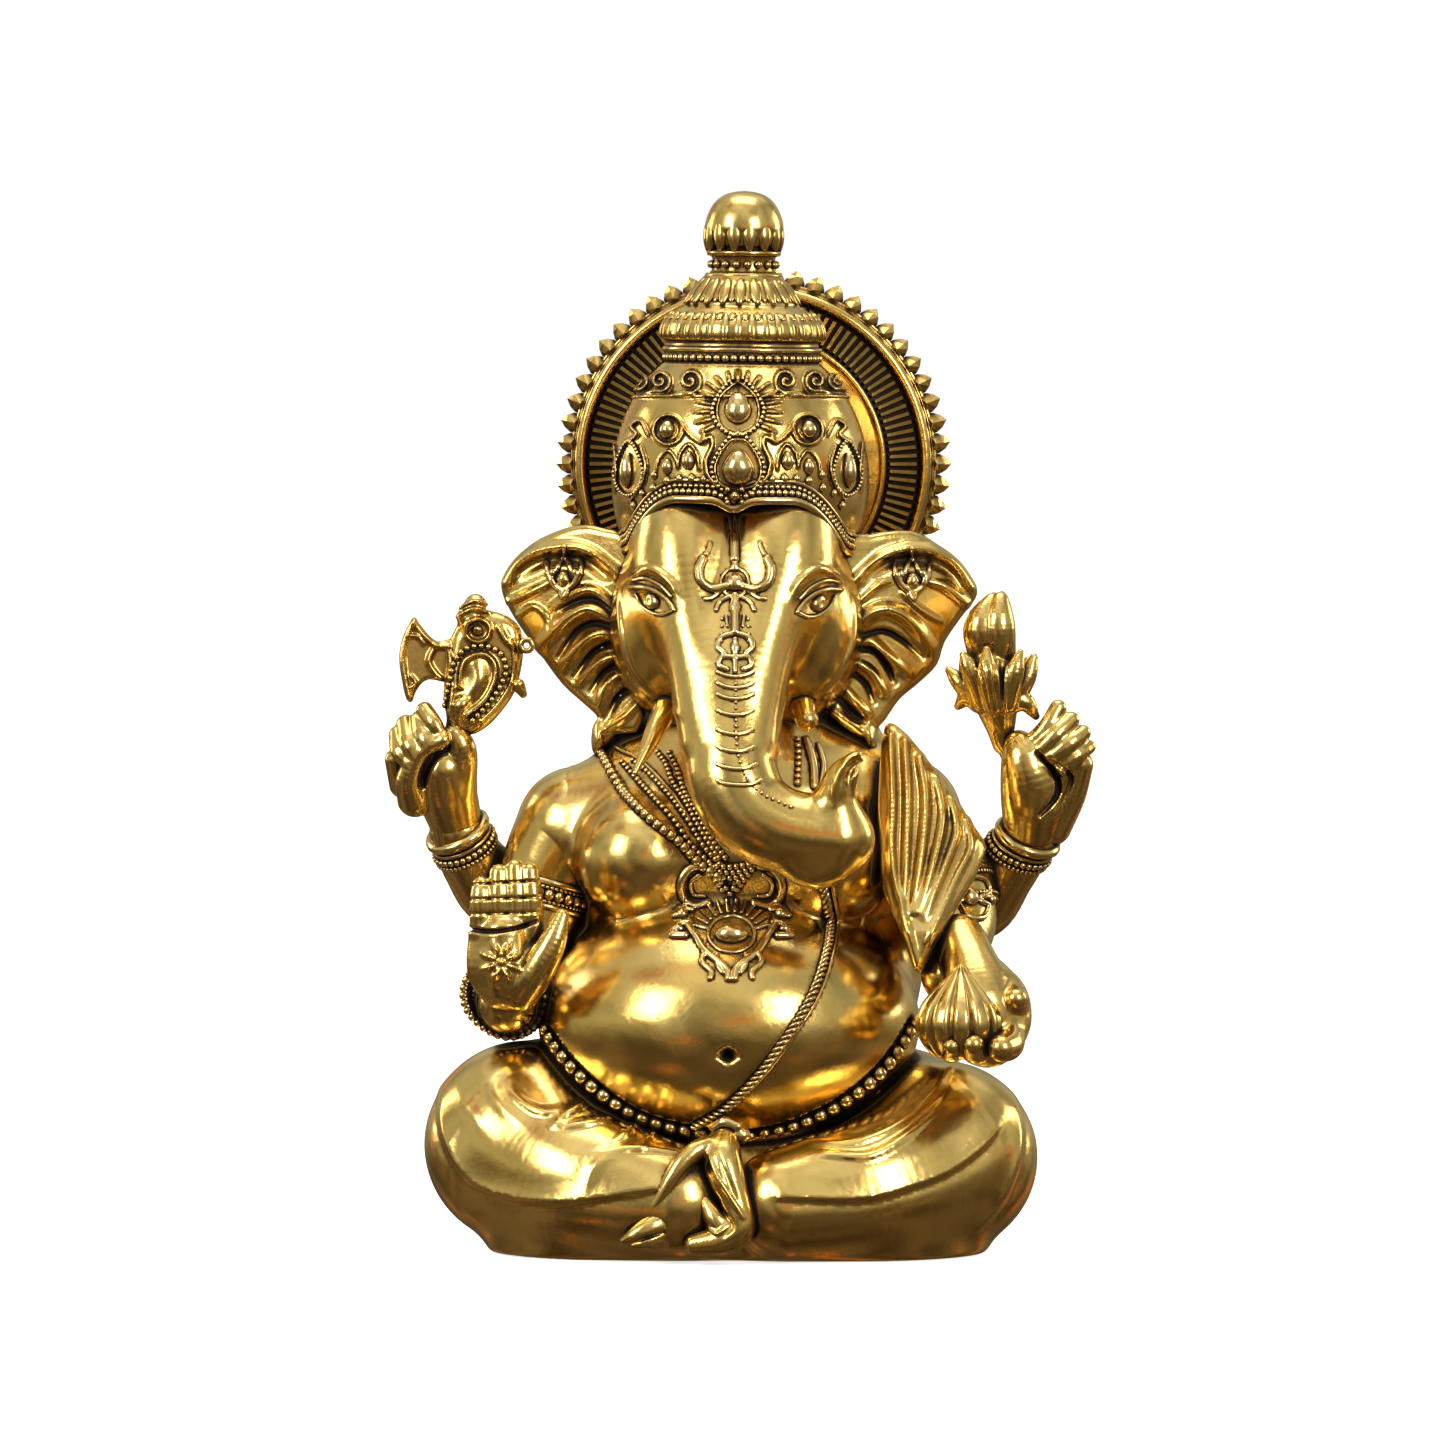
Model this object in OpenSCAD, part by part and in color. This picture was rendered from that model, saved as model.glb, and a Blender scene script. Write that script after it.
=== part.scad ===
// Seated four-armed elephant-headed deity, a hollow brass figure with a halo disc.
// The figure faces -Y. Right and left are the figure's own: its right hand is on -X.
// The origin is under the middle of the base, on the surface that it stands on.

/* [Castings] */
// Wall thickness of the hollow lap and torso castings
wall = 3; // [2:0.5:4]
// Radius of the passage that joins the two hollows
core_passage_r = 13; // [8:1:16]
// Facets around a rounded limb
limb_fn = 16; // [12:2:24]
// Facets around a small rounded form, such as a finger
finger_fn = 8; // [8:2:16]

/* [Base] */
// Thickness of the plate that closes the bottom
plate_t = 2; // [1.5:0.5:3]
// Half the width of the plate
plate_half_w = 46; // [40:1:50]
// Half the depth of the plate
plate_half_d = 28; // [20:1:29]
// Radius of a screw's shank
screw_r = 1.5; // [1:0.25:2]
// Length of a screw below its head
screw_l = 8; // [5:1:10]
// Radius of a threaded post inside the lap
post_r = 3.5; // [3:0.5:5]
// Height of the posts' tops, inside the lap's roof
post_top = 34; // [28:1:35]

/* [Crown and halo] */
// Largest radius of the crown's body
crown_r = 26; // [22:0.5:27]
// Height of the crown's axis base above the floor
crown_z = 137; // [130:1:142]
// Radius to the points of the halo's leaves
halo_r = 40; // [36:1:42]
// Number of leaves around the halo
halo_leaves = 56; // [40:1:64]
// Height of a leaf
leaf_h = 2.4; // [1.5:0.1:3]
// Thickness of the halo plate
halo_t = 3.2; // [2:0.2:5]
// Sideways lean of the head group, in degrees
head_lean = 0.85; // [0:0.05:2]

/* [Beads] */
// Radius of the largest girdle bead
girdle_bead_r = 1.5; // [1:0.1:2]
// Number of girdle beads on each side
girdle_beads_side = 13; // [8:1:16]
// Radius of a necklace bead
necklace_bead_r = 0.8; // [0.6:0.1:0.9]
// Number of necklace strands
strands = 4; // [2:1:5]
// Radius of a crown bead
crown_bead_r = 0.8; // [0.5:0.1:1]

/* [Hidden] */

brass = "goldenrod";
bright_brass = "gold";
dark_brass = "darkgoldenrod";

// Middle of the crown's axis, and the front face of the halo plate
crown_y = 9;
halo_y = 33;
halo_z = 157;
// Middle of the base plate, and where its screws stand
plate_y = 0;
post_x = 36;
post_dy = 14;
// The ledge around the plate, and the height of the foot that surrounds it
ledge = 3;
foot_h = 9;

belly_c = [-1, -4, 45];
belly_r = [38.5, 35, 27];
chest_c = [0, 3, 79];
chest_r = [32, 24, 20];

// Routes are chosen by hand: [x, y, z, radius] of each ball along a limb
thigh_r = [[-16, 22, 21, 21], [-36, 4, 20, 20], [-44, -14, 20, 18.5]];
thigh_l = [[16, 22, 21, 21], [36, 4, 19, 19], [44, -14, 18, 17.5]];
shin_r = [[-44, -16, 19, 18.5], [-26, -28, 14, 14], [-8, -32, 10.5, 11]];
shin_l = [[44, -16, 18, 17.5], [27, -28, 14, 14], [10, -32, 10.5, 11]];
trunk_path = [
    [0, -10, 130, 12], [0, -14, 121, 11], [-1, -19, 113, 10], [-1, -23, 105, 9.2],
    [-0.5, -26, 97, 9.2], [2, -28, 90.5, 9], [8, -29, 86, 8.4], [15, -29, 85, 7.6],
    [21, -28, 87, 5.6], [22.5, -28, 93, 3.8], [20, -28, 97.5, 2.4]
];
right_arm_front = [[-33, 6, 89, 12], [-41, 4, 74, 9.5], [-46, 4, 56, 9], [-45, -10, 47, 8], [-45, -17, 48, 6.5]];
left_arm_front = [[33, 6, 89, 12], [42, 4, 76, 9.5], [45, 0, 64, 8.5], [44, -12, 56, 7], [44, -19, 52, 5.5]];
right_arm_rear = [[-27, 16, 87, 10], [-40, 18, 76, 9], [-49, 16, 69, 8.5], [-54, 10, 76, 7], [-58, 6, 84, 5.5]];
left_arm_rear = [[27, 16, 87, 10], [40, 18, 74, 9], [50, 16, 66, 8.5], [56, 10, 74, 7], [60, 6, 83, 5.5]];
thread_path = [
    [18, -22, 76, 1.4], [19, -27, 68, 1.4], [18, -34, 58, 1.4], [14, -38, 48, 1.4],
    [7, -39, 40, 1.4], [0, -36, 31, 1.4], [-6, -31, 25, 1.4]
];
girdle_right = [[-37, -13, 45], [-31, -22, 36], [-23, -27, 30], [-13, -30, 26], [-3, -31, 24.5]];
girdle_left = [[35, -15, 44], [29, -24, 36], [21, -28, 30], [13, -30, 26], [5, -31, 24.5]];

// The outline of the right ear, from its top at the head round to the lobe, and its root
ear_rim = [
    [-27, 10, 144], [-32, 12, 145], [-38, 14, 143], [-44, 16, 139], [-47.5, 17, 133],
    [-46, 16, 127], [-42, 15, 121], [-37, 13, 115], [-32, 11, 109], [-29, 9, 102]
];
ear_root = [
    [-23, 8, 141], [-23, 6, 139], [-23.5, 5, 136], [-24, 4, 132], [-24, 4, 128],
    [-23.5, 3, 124], [-22, 3, 120], [-21, 2, 116], [-20, 2, 112], [-22, 4, 105]
];
ear_t = 1.5;

// Where the shawl's two edges run, from the shoulder to the tip
shawl_in = [[27, 8, 103], [28, -9, 98], [28, -21, 86], [29, -25, 72], [35, -24, 58]];
shawl_out = [[34, 14, 100], [44, 2, 96], [51, -4, 84], [48, -12, 72], [38, -21, 59]];
cloth_right = [[-4, -35, 25], [-10, -41, 16], [-14, -43, 8], [-12, -43.5, 1.5]];
cloth_left = [[3, -35, 24], [5, -41, 16], [4, -43, 8], [1, -43.5, 1.5]];

function mirrored(path) = [for (p = path) [-p.x, p.y, p.z]];
function between(a, b, t) = a + (b - a) * t;
// The point at share t of a route's points
function along(path, t) =
    let (last = len(path) - 1, s = min(t * last, last - 0.0001), i = floor(s))
    between(path[i], path[i + 1], s - i);
// The front of the torso at x and z
function front_of(c, r, x, z) =
    c.y - r.y * sqrt(max(0, 1 - pow((x - c.x) / r.x, 2) - pow((z - c.z) / r.z, 2)));
function torso_front(x, z) = min(front_of(belly_c, belly_r, x, z), front_of(chest_c, chest_r, x, z));
// The crown's half-width at a height over its base, an ellipse that is widest at its belly
crown_belly = 17;
crown_half_h = 32.5;
function crown_w(h) = crown_r * sqrt(1 - pow((h - crown_belly) / crown_half_h, 2));

module ball(p, fn = limb_fn) {
    translate([p.x, p.y, p.z]) sphere(r = p[3], $fn = fn);
}

module limb(path, fn = limb_fn) {
    for (i = [0 : len(path) - 2]) hull() {
        ball(path[i], fn);
        ball(path[i + 1], fn);
    }
}

module pebble(c, r, fn = 28) {
    translate(c) scale(r) sphere(r = 1, $fn = fn);
}

// A thick sheet between two routes with the same number of points
module sheet(edge_a, edge_b, t) {
    for (i = [0 : len(edge_a) - 2]) hull()
        for (p = [edge_a[i], edge_a[i + 1], edge_b[i], edge_b[i + 1]])
            translate(p) sphere(r = t, $fn = 8);
}

// Everything above the neck leans together
module leaning() {
    translate([-0.6, 0, crown_z]) rotate([0, head_lean, 0]) translate([0, 0, -crown_z]) children();
}

module at_crown(h) {
    translate([0, crown_y, crown_z + h]) children();
}

// ---- Base ----

module post_places() {
    for (x = [-post_x, post_x], y = [-post_dy, post_dy])
        translate([x, plate_y + y, 0]) children();
}

module plate_outline() {
    corner_r = 16;
    for (x = [-1, 1], y = [-1, 1])
        translate([x * (plate_half_w - corner_r), y * (plate_half_d - corner_r)]) circle(r = corner_r, $fn = 64);
    square([2 * plate_half_w, 2 * (plate_half_d - corner_r)], center = true);
    square([2 * (plate_half_w - corner_r), 2 * plate_half_d], center = true);
}

module screw_solid(clear = 0) {
    head_h = 1.6;
    cylinder(h = head_h, r1 = 2 * screw_r + clear, r2 = screw_r + clear, $fn = 32);
    cylinder(h = screw_l, r = screw_r + clear, $fn = 32);
}

module base_plate() {
    color(dark_brass) difference() {
        translate([0, plate_y, 0]) linear_extrude(plate_t) plate_outline();
        post_places() translate([0, 0, -0.001]) screw_solid(0.1);
    }
}

module base_screws() {
    slot_w = 0.6;
    slot_h = 0.8;
    color("silver") post_places() difference() {
        screw_solid();
        cube([6 * screw_r, slot_w, 2 * slot_h], center = true);
    }
}

module base_posts() {
    color(dark_brass) post_places() difference() {
        translate([0, 0, plate_t]) cylinder(h = post_top - plate_t, r = post_r, $fn = 40);
        cylinder(h = screw_l + plate_t, r = screw_r + 0.02, $fn = 32);
    }
}

// ---- Lap and torso ----

module lap_form(inset = 0) {
    for (path = [thigh_r, thigh_l, shin_r, shin_l])
        limb([for (p = path) [p.x, p.y, p.z, p[3] - inset]]);
    pebble([0, 8, 16], [34 - inset, 32 - inset, 20 - inset]);
    translate([0, plate_y, 0]) linear_extrude(foot_h) offset(ledge - inset) plate_outline();
}

module torso_form(inset = 0) {
    pebble(belly_c, [for (r = belly_r) r - inset]);
    pebble(chest_c, [for (r = chest_r) r - inset]);
    pebble([0, 13, 58], [31 - inset, 24 - inset, 38 - inset]);
    if (inset == 0) {
        for (side = [-1, 1]) {
            limb([[side * 13, 6, 92, 12], [side * 31, 8, 88, 12]]);
            limb([[side * 13, -9, 78, 11], [side * 17, -7, 74, 11]]);
        }
        limb([[0, 6, 90, 18], [0, 6, 104, 16]]);
    }
}

module above(z) {
    translate([-100, -100, z]) cube([200, 200, 250]);
}

module lap_casting() {
    color(brass) difference() {
        intersection() {
            lap_form();
            above(0);
        }
        torso_form();
        lap_form(wall);
        translate([0, plate_y, -1]) linear_extrude(plate_t + 1) plate_outline();
        translate([0, plate_y, -1]) linear_extrude(foot_h) offset(-ledge) plate_outline();
        cylinder(h = 40, r = core_passage_r, $fn = 32);
        post_places() cylinder(h = post_top, r = post_r, $fn = 24);
    }
}

module torso_casting() {
    color(brass) difference() {
        torso_form();
        torso_form(wall);
        cylinder(h = 40, r = core_passage_r, $fn = 32);
    }
}

module foot() {
    toe_gap = 2.2;
    color(bright_brass) difference() {
        union() {
            limb([[-17, -38, 8, 3.6], [-21, -41, 6.5, 3]], finger_fn);
            limb([[-17, -38, 8, 3.6], [-12, -40, 9, 3]], finger_fn);
            for (i = [0 : 4]) limb([[-20 + i * 1.4, -40, 7, 1.5],
                [-22 + i * toe_gap, -43, 4.6 + 0.3 * i, 1.2]], finger_fn);
            limb([[-21, -41, 6.5, 3], [-22, -40.5, 4.5, 2]], finger_fn);
        }
        sheet(cloth_right, cloth_left, 1.3);
    }
}

module front_cloth() {
    color(bright_brass) intersection() {
        union() {
            sheet(cloth_right, cloth_left, 1.3);
            for (i = [0 : 4]) limb([[-3 + i, -36, 24, 1.1], [-10 + 2.6 * i, -42, 14, 1.6],
                [-11 + 2.8 * i, -43, 3, 1.8]], finger_fn);
        }
        above(0);
    }
}

module girdle_beads() {
    color(bright_brass) for (path = [girdle_right, girdle_left], i = [0 : girdle_beads_side - 1]) {
        t = i / (girdle_beads_side - 1);
        translate(along(path, t)) sphere(r = between(girdle_bead_r, 0.5 * girdle_bead_r, t), $fn = 24);
    }
}

module girdle_clasp() {
    color(bright_brass) translate([1, -33.5, 25]) rotate([0, 100, 0]) rotate_extrude($fn = 48)
        polygon([[0, -4], [1.2, -3.6], [1.4, -2.4], [0.9, -1.9], [2, -1], [2.2, 0.4], [1.2, 1.9],
            [1.5, 2.6], [1.1, 3.6], [0, 4]]);
}

module sacred_thread() {
    color(bright_brass) {
        limb(thread_path, 10);
        limb([for (p = thread_path) [p.x - 2, p.y + 0.4, p.z - 0.4, 0.9]], 8);
    }
}

module necklace_strands() {
    beads = 12;
    half_w = 27;
    low_z = 76;
    high_z = 102;
    gap = 2.2;
    color(bright_brass) for (k = [0 : strands - 1], side = [-1, 1], i = [0 : beads - 1]) {
        s = i / beads;
        x = side * (half_w - gap * k) * (1 - s);
        z = between(low_z + gap * k, high_z, 1 - s);
        translate([x, min(torso_front(x, z), -2 - 14 * s) - 0.6, z]) sphere(r = necklace_bead_r, $fn = 20);
    }
}

module pendant() {
    gem_r = 3;
    rays = 9;
    color(bright_brass) translate([0, -30, 64]) rotate([-38, 0, 0]) {
        rotate([90, 0, 0]) cylinder(h = 2, r = 6, center = true, $fn = 40);
        translate([0, -1, 0]) sphere(r = gem_r, $fn = 32);
        for (i = [0 : rays - 1]) rotate([0, (i - (rays - 1) / 2) * 18, 0])
            translate([0, 0, 6]) cylinder(h = 4, r = 0.8, $fn = 16);
        for (side = [-1, 1]) {
            translate([side * 7.5, 0, 0]) sphere(r = 2.4, $fn = 24);
            translate([side * 8, 0, 5]) rotate([0, side * 12, 0]) cylinder(h = 6, r1 = 1.6, r2 = 0.5, $fn = 20);
            translate([side * 2.4, 0, -10.5]) cylinder(h = 6, r1 = 0.5, r2 = 1.4, $fn = 20);
        }
    }
}

module shawl() {
    folds = 5;
    color(brass) difference() {
        union() {
            sheet(shawl_in, shawl_out, 1.6);
            for (i = [1 : folds]) limb([for (j = [0 : len(shawl_in) - 1])
                concat(between(shawl_in[j], shawl_out[j], i / (folds + 1)), 2.1)], 8);
        }
        torso_form();
        limb(left_arm_front);
        limb(left_arm_rear);
    }
}

// ---- Head ----

module crown_outer() {
    levels = 12;
    height = 43;
    at_crown(0) rotate_extrude($fn = 64)
        polygon(concat([[0, 0]], [for (i = [0 : levels]) let (h = height * i / levels) [crown_w(h), h]],
            [[0, height]]));
}

// The space above the crown's sloping rim, high over the brow and low behind
module over_rim() {
    rim_slope = 18;
    at_crown(0) rotate([-rim_slope, 0, 0]) translate([-50, -50, 0]) cube([100, 100, 100]);
}

module before_halo() {
    translate([-60, -60, 60]) cube([120, 60 + halo_y, 160]);
}

module head_form() {
    pebble([0, 6, 128], [24, 25, 25]);
    for (side = [-1, 1]) {
        limb([[side * 9.5, -7, 136, 12.5], [side * 10, -5, 130, 12]]);
        limb([[side * 12, -4, 122, 12], [side * 10, -4, 112, 10]]);
    }
    limb([[0, 8, 116, 16], [0, 7, 104, 15]]);
}

module head_casting() {
    color(brass) difference() {
        leaning() difference() {
            head_form();
            intersection() {
                crown_outer();
                over_rim();
            }
            translate([-60, halo_y, 60]) cube([120, 60, 160]);
        }
        torso_form();
        limb(trunk_path);
    }
}

module trunk() {
    color(brass) difference() {
        limb(trunk_path);
        torso_form();
    }
}

module right_tusk() {
    color(bright_brass) difference() {
        limb([[-12, -14, 108, 3.2], [-15, -20, 103, 2.6], [-18, -25, 99, 1.9], [-20, -29, 96, 0.9]], finger_fn);
        leaning() head_form();
        limb(trunk_path);
    }
}

module left_tusk_stub() {
    color(bright_brass) difference() {
        limb([[11, -13, 108, 3.2], [13, -18, 104, 2.7]], finger_fn);
        leaning() head_form();
        limb(trunk_path);
    }
}

module ear(rim, root) {
    sheet(rim, root, ear_t);
    for (i = [0 : 6]) hull() {
        translate(rim[i]) sphere(r = 2, $fn = finger_fn);
        translate(rim[i + 1]) sphere(r = 2, $fn = finger_fn);
    }
    // Five folds fan out from the cheek
    for (i = [4 : 8]) hull() {
        translate(root[i] - [0, 1, 0]) sphere(r = 1.4, $fn = finger_fn);
        translate(between(root[i], rim[i], 0.75) - [0, 1.5, 0]) sphere(r = 1.6, $fn = finger_fn);
    }
}

module right_ear() {
    color(brass) leaning() difference() {
        ear(ear_rim, ear_root);
        head_form();
        crown_outer();
    }
}

module left_ear() {
    color(brass) leaning() difference() {
        ear(mirrored(ear_rim), mirrored(ear_root));
        head_form();
        crown_outer();
    }
}

module ear_ornament(side) {
    color(bright_brass) leaning() translate([side * 35, 8, 136]) {
        sphere(r = 2, $fn = 32);
        for (a = [-50, 0, 50]) rotate([0, a, 0]) translate([0, 0, 1]) cylinder(h = 3.2, r1 = 1.2, r2 = 0.4, $fn = 20);
        for (x = [-1.8, 1.8]) translate([x, -0.6, 0.6]) sphere(r = 1, $fn = 24);
        translate([0, 0, -4]) cylinder(h = 3, r1 = 0.4, r2 = 1.3, $fn = 20);
    }
}

module right_ear_ornament() {
    ear_ornament(-1);
}

module left_ear_ornament() {
    ear_ornament(1);
}

module eyes() {
    color(bright_brass) leaning() for (side = [-1, 1])
        translate([side * 17, -12.5, 129]) sphere(r = 2.4, $fn = 32);
}

module forehead_tilak() {
    prong_gap = 5.5;
    color(bright_brass) leaning() translate([0, -17.5, 132]) rotate([8, 0, 0]) {
        rotate([90, 0, 0]) cylinder(h = 1.6, r = 2.6, center = true, $fn = 32);
        translate([0, -0.8, 0]) sphere(r = 1.4, $fn = 24);
        translate([0, 0, 2.4]) cylinder(h = 9, r1 = 1.3, r2 = 0.4, $fn = 20);
        translate([0, 0, -10]) cylinder(h = 8, r = 0.9, $fn = 20);
        for (side = [-1, 1]) translate([side * prong_gap, 0, 0])
            rotate([0, -side * 6, 0]) cylinder(h = 8, r1 = 1.2, r2 = 0.4, $fn = 20);
        rotate([0, 90, 0]) cylinder(h = 2 * prong_gap, r = 0.9, center = true, $fn = 20);
    }
}

// ---- Crown and halo ----

module crown_body() {
    color(brass) leaning() intersection() {
        crown_outer();
        over_rim();
        before_halo();
    }
}

// A point on the crown's surface, turned a degrees from the front
module on_crown(a, h, out = 0) {
    at_crown(h) rotate([0, 0, a]) translate([0, -crown_w(h) - out, 0]) children();
}

module brow_band() {
    half_turn = 112;
    beads = 44;
    rim_drop = 8.5;
    color(bright_brass) leaning() for (i = [0 : beads - 1], row = [0, 1]) {
        a = -half_turn + 2 * half_turn * i / (beads - 1);
        h = rim_drop * cos(a) + 0.6 + 2 * row;
        on_crown(a, h, 0.2) sphere(r = crown_bead_r, $fn = 20);
    }
}

module crown_bead_rows() {
    beads = 48;
    half_turn = 110;
    band = [30.5, 41.5];
    color(bright_brass) leaning() {
        for (h = band) at_crown(h) difference() {
            cylinder(h = 0.8, r = crown_w(h) + 0.7, center = true, $fn = 72);
            cylinder(h = 2, r = crown_w(h) - 1, center = true, $fn = 72);
            translate([-60, halo_y - crown_y, -5]) cube([120, 60, 10]);
        }
        for (i = [0 : beads - 1])
            on_crown(-half_turn + 2 * half_turn * i / (beads - 1), 32, 0.2) sphere(r = crown_bead_r, $fn = 20);
    }
}

module jewel(r, petals) {
    rotate([90, 0, 0]) cylinder(h = 1.2, r = r, center = true, $fn = 32);
    translate([0, -0.6, 0]) sphere(r = 0.6 * r, $fn = 28);
    for (i = [0 : petals - 1]) rotate([0, i * 360 / petals, 0]) translate([0, -0.2, r]) sphere(r = 0.7, $fn = 20);
}

module crown_jewels() {
    color(bright_brass) leaning() {
        on_crown(0, 32, 0.4) jewel(5.5, 18);
        on_crown(0, 20.5, 0.4) jewel(4, 14);
        on_crown(0, 13, 0.4) jewel(2, 6);
        for (side = [-1, 1]) {
            on_crown(side * 36, 28, 0.3) jewel(3, 10);
            on_crown(side * 22, 20, 0.3) jewel(2, 8);
            on_crown(side * 62, 20, 0.3) jewel(3.4, 12);
            on_crown(side * 96, 18, 0.3) jewel(3, 10);
        }
    }
}

module crown_tier() {
    lobes = 32;
    step_r = 16.6;
    color(brass) leaning() at_crown(43) {
        rotate_extrude($fn = 64) polygon([
            [0, 0], [15.4, 0], [15.4, 2], [17, 2.6], [17.4, 4.4], [16.6, 6.4], [13, 8.4],
            [10.6, 10], [9.4, 12.5], [8, 15], [0, 15]
        ]);
        for (i = [0 : lobes - 1]) rotate([0, 0, i * 360 / lobes])
            translate([step_r, 0, 4.4]) sphere(r = 1.4, $fn = 20);
    }
}

module crown_finial() {
    petals = 20;
    ball_z = 11.4;
    color(bright_brass) leaning() at_crown(58) {
        rotate_extrude($fn = 64) polygon([
            [0, 0], [7.6, 0], [7.6, 0.8], [6.8, 1.2], [6.8, 4], [7.6, 4.4], [7.6, 5.2], [6, 5.6],
            [7.2, 7.4], [8, 10], [7.9, 12.4], [6.6, 15], [4, 16.9], [1.8, 17.4], [0, 17.4]
        ]);
        for (i = [0 : petals - 1]) rotate([0, 0, i * 360 / petals])
            translate([7.2, 0, ball_z - 2.5]) sphere(r = 1, $fn = 20);
    }
}

module at_halo() {
    leaning() translate([1, halo_y, halo_z]) rotate([-90, 0, 0]) children();
}

module halo_disc() {
    root_r = halo_r - leaf_h;
    step = 360 / halo_leaves;
    color(brass) at_halo() difference() {
        union() {
            linear_extrude(halo_t) polygon([for (i = [0 : 2 * halo_leaves - 1])
                let (r = i % 2 == 0 ? halo_r : root_r, a = i * step / 2) [r * cos(a), r * sin(a)]]);
            translate([0, 0, -0.8]) cylinder(h = 1, r = 36.4, $fn = 96);
        }
        translate([0, 0, -1]) cylinder(h = 1.6, r = 34.2, $fn = 96);
        rivet_places() translate([0, 0, -2]) cylinder(h = 10, r = 1.6, $fn = 32);
    }
    color(brass) at_halo() difference() {
        cylinder(h = 0.6, r = 27, $fn = 96);
        rivet_places() translate([0, 0, -2]) cylinder(h = 10, r = 1.6, $fn = 32);
    }
}

module rivet_places() {
    rivet_gap = 20;
    for (y = [-1, 1]) translate([0, y * rivet_gap / 2, 0]) children();
}

module halo_rivets() {
    color(dark_brass) at_halo() rivet_places() {
        cylinder(h = halo_t, r = 1.6, $fn = 32);
        translate([0, 0, halo_t]) cylinder(h = 1.2, r1 = 3, r2 = 2, $fn = 32);
    }
}

// ---- Arms ----

module front_right_arm() {
    color(brass) difference() {
        limb(right_arm_front);
        torso_form();
        lap_form();
        limb([[-45, -17, 48, 6.4], [-45, -30, 50, 6.4]]);
    }
}

module front_left_arm() {
    color(brass) difference() {
        limb(left_arm_front);
        torso_form();
        lap_form();
        limb([[44, -19, 52, 5.4], [44, -30, 50, 5.4]]);
    }
}

module rear_right_arm() {
    color(brass) difference() {
        limb(right_arm_rear);
        torso_form();
        limb(right_arm_front);
    }
}

module rear_left_arm() {
    color(brass) difference() {
        limb(left_arm_rear);
        torso_form();
        limb(left_arm_front);
    }
}

module front_right_hand() {
    fingers = 4;
    color(bright_brass) difference() {
        union() {
            hull() {
                for (p = [[-49, -22, 52, 5], [-41, -22, 52, 5.5], [-51, -23, 64, 3.2], [-40, -23, 64, 3.4]]) ball(p, 12);
            }
            for (i = [0 : fingers - 1])
                limb([[-52 + 4.3 * i, -23.5, 63, 2.5], [-52 + 4.2 * i, -24, 70, 2.5],
                    [-51.5 + 4 * i, -24, 74.5 + (i % 3 == 0 ? 0 : 1), 2.1]], finger_fn);
            limb([[-40, -25, 55, 4], [-35, -25, 61, 3.2], [-33, -24, 68, 2.4]], finger_fn);
        }
        difference() {
            limb(right_arm_front);
            limb([[-45, -17, 48, 6.4], [-45, -30, 50, 6.4]]);
        }
    }
}

module front_left_hand() {
    fingers = 4;
    color(bright_brass) difference() {
        union() {
            hull() {
                for (p = [[38, -27, 44, 4], [50, -27, 44, 4], [40, -22, 50, 4], [49, -22, 50, 4]]) ball(p, 12);
            }
            for (i = [0 : fingers - 1])
                limb([[37 + 4.2 * i, -30, 42, 2.5], [39.5 + 3.4 * i, -35, 43, 2.2],
                    [40.5 + 3 * i, -37, 46, 1.8]], finger_fn);
            limb([[52, -25, 46, 3.2], [56.5, -29, 50, 2.6], [56, -32, 54, 2.2]], finger_fn);
        }
        modak_solid();
        difference() {
            limb(left_arm_front);
            limb([[44, -19, 52, 5.4], [44, -30, 50, 5.4]]);
        }
    }
}

module fist(side) {
    hull() {
        for (p = [[58, 5, 87, 4.6], [64, 4, 91, 5.5], [62, 4, 99, 5], [67, 2, 100, 3.6]]) ball([side * p.x, p.y, p.z, p[3]], 12);
    }
    for (i = [0 : 3])
        limb([[side * (68.5 - 0.9 * i), 1, 98 + 2.6 * i, 2.4], [side * (67.5 - 1.5 * i), -4, 98.5 + 2.6 * i, 2.2],
            [side * (62.5 - 0.8 * i), -4.5, 98 + 2.4 * i, 1.9]], finger_fn);
    limb([[side * 58, 0, 94, 3], [side * 58, -3, 100, 2.4], [side * 60, -4, 105, 2]], finger_fn);
}

module rear_right_hand() {
    color(bright_brass) difference() {
        fist(-1);
        limb(right_arm_rear);
        axe_handle();
    }
}

module rear_left_hand() {
    color(bright_brass) difference() {
        fist(1);
        limb(left_arm_rear);
        lotus_stem();
    }
}

module ring(r, width) {
    band_t = 1.2;
    difference() {
        cylinder(h = width, r = r + band_t, center = true, $fn = 48);
        cylinder(h = width + 1, r = r, center = true, $fn = 48);
    }
    for (z = [-1, 1]) translate([0, 0, z * width / 2]) rotate_extrude($fn = 48) translate([r + 0.7, 0]) circle(r = 0.7, $fn = 16);
}

module right_armlet() {
    color(bright_brass) translate([-41, 4, 73]) rotate([0, 20, 0]) {
        ring(9.4, 3);
        translate([3, -10.4, 1]) sphere(r = 2.2, $fn = 28);
    }
}

module left_armlet() {
    color(bright_brass) translate([44, 2, 68]) rotate([14, -14, 0]) {
        ring(9, 3);
        translate([0, -10, 0]) sphere(r = 2, $fn = 28);
    }
}

module front_right_bracelet() {
    beads = 20;
    color(bright_brass) translate([-45, -15, 48]) rotate([82, 0, 0]) {
        for (i = [0 : beads - 1]) rotate([0, 0, i * 360 / beads]) translate([8.2, 0, 0]) sphere(r = 1.1, $fn = 20);
        ring(6.6, 1.6);
    }
}

module rear_right_bracelet() {
    color(bright_brass) translate([-57, 7, 82]) rotate([-22, -18, 0]) ring(5.8, 4);
}

module rear_left_bracelet() {
    color(bright_brass) translate([59, 7, 81]) rotate([-22, 18, 0]) ring(5.8, 4);
}

// ---- What the hands hold ----

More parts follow.
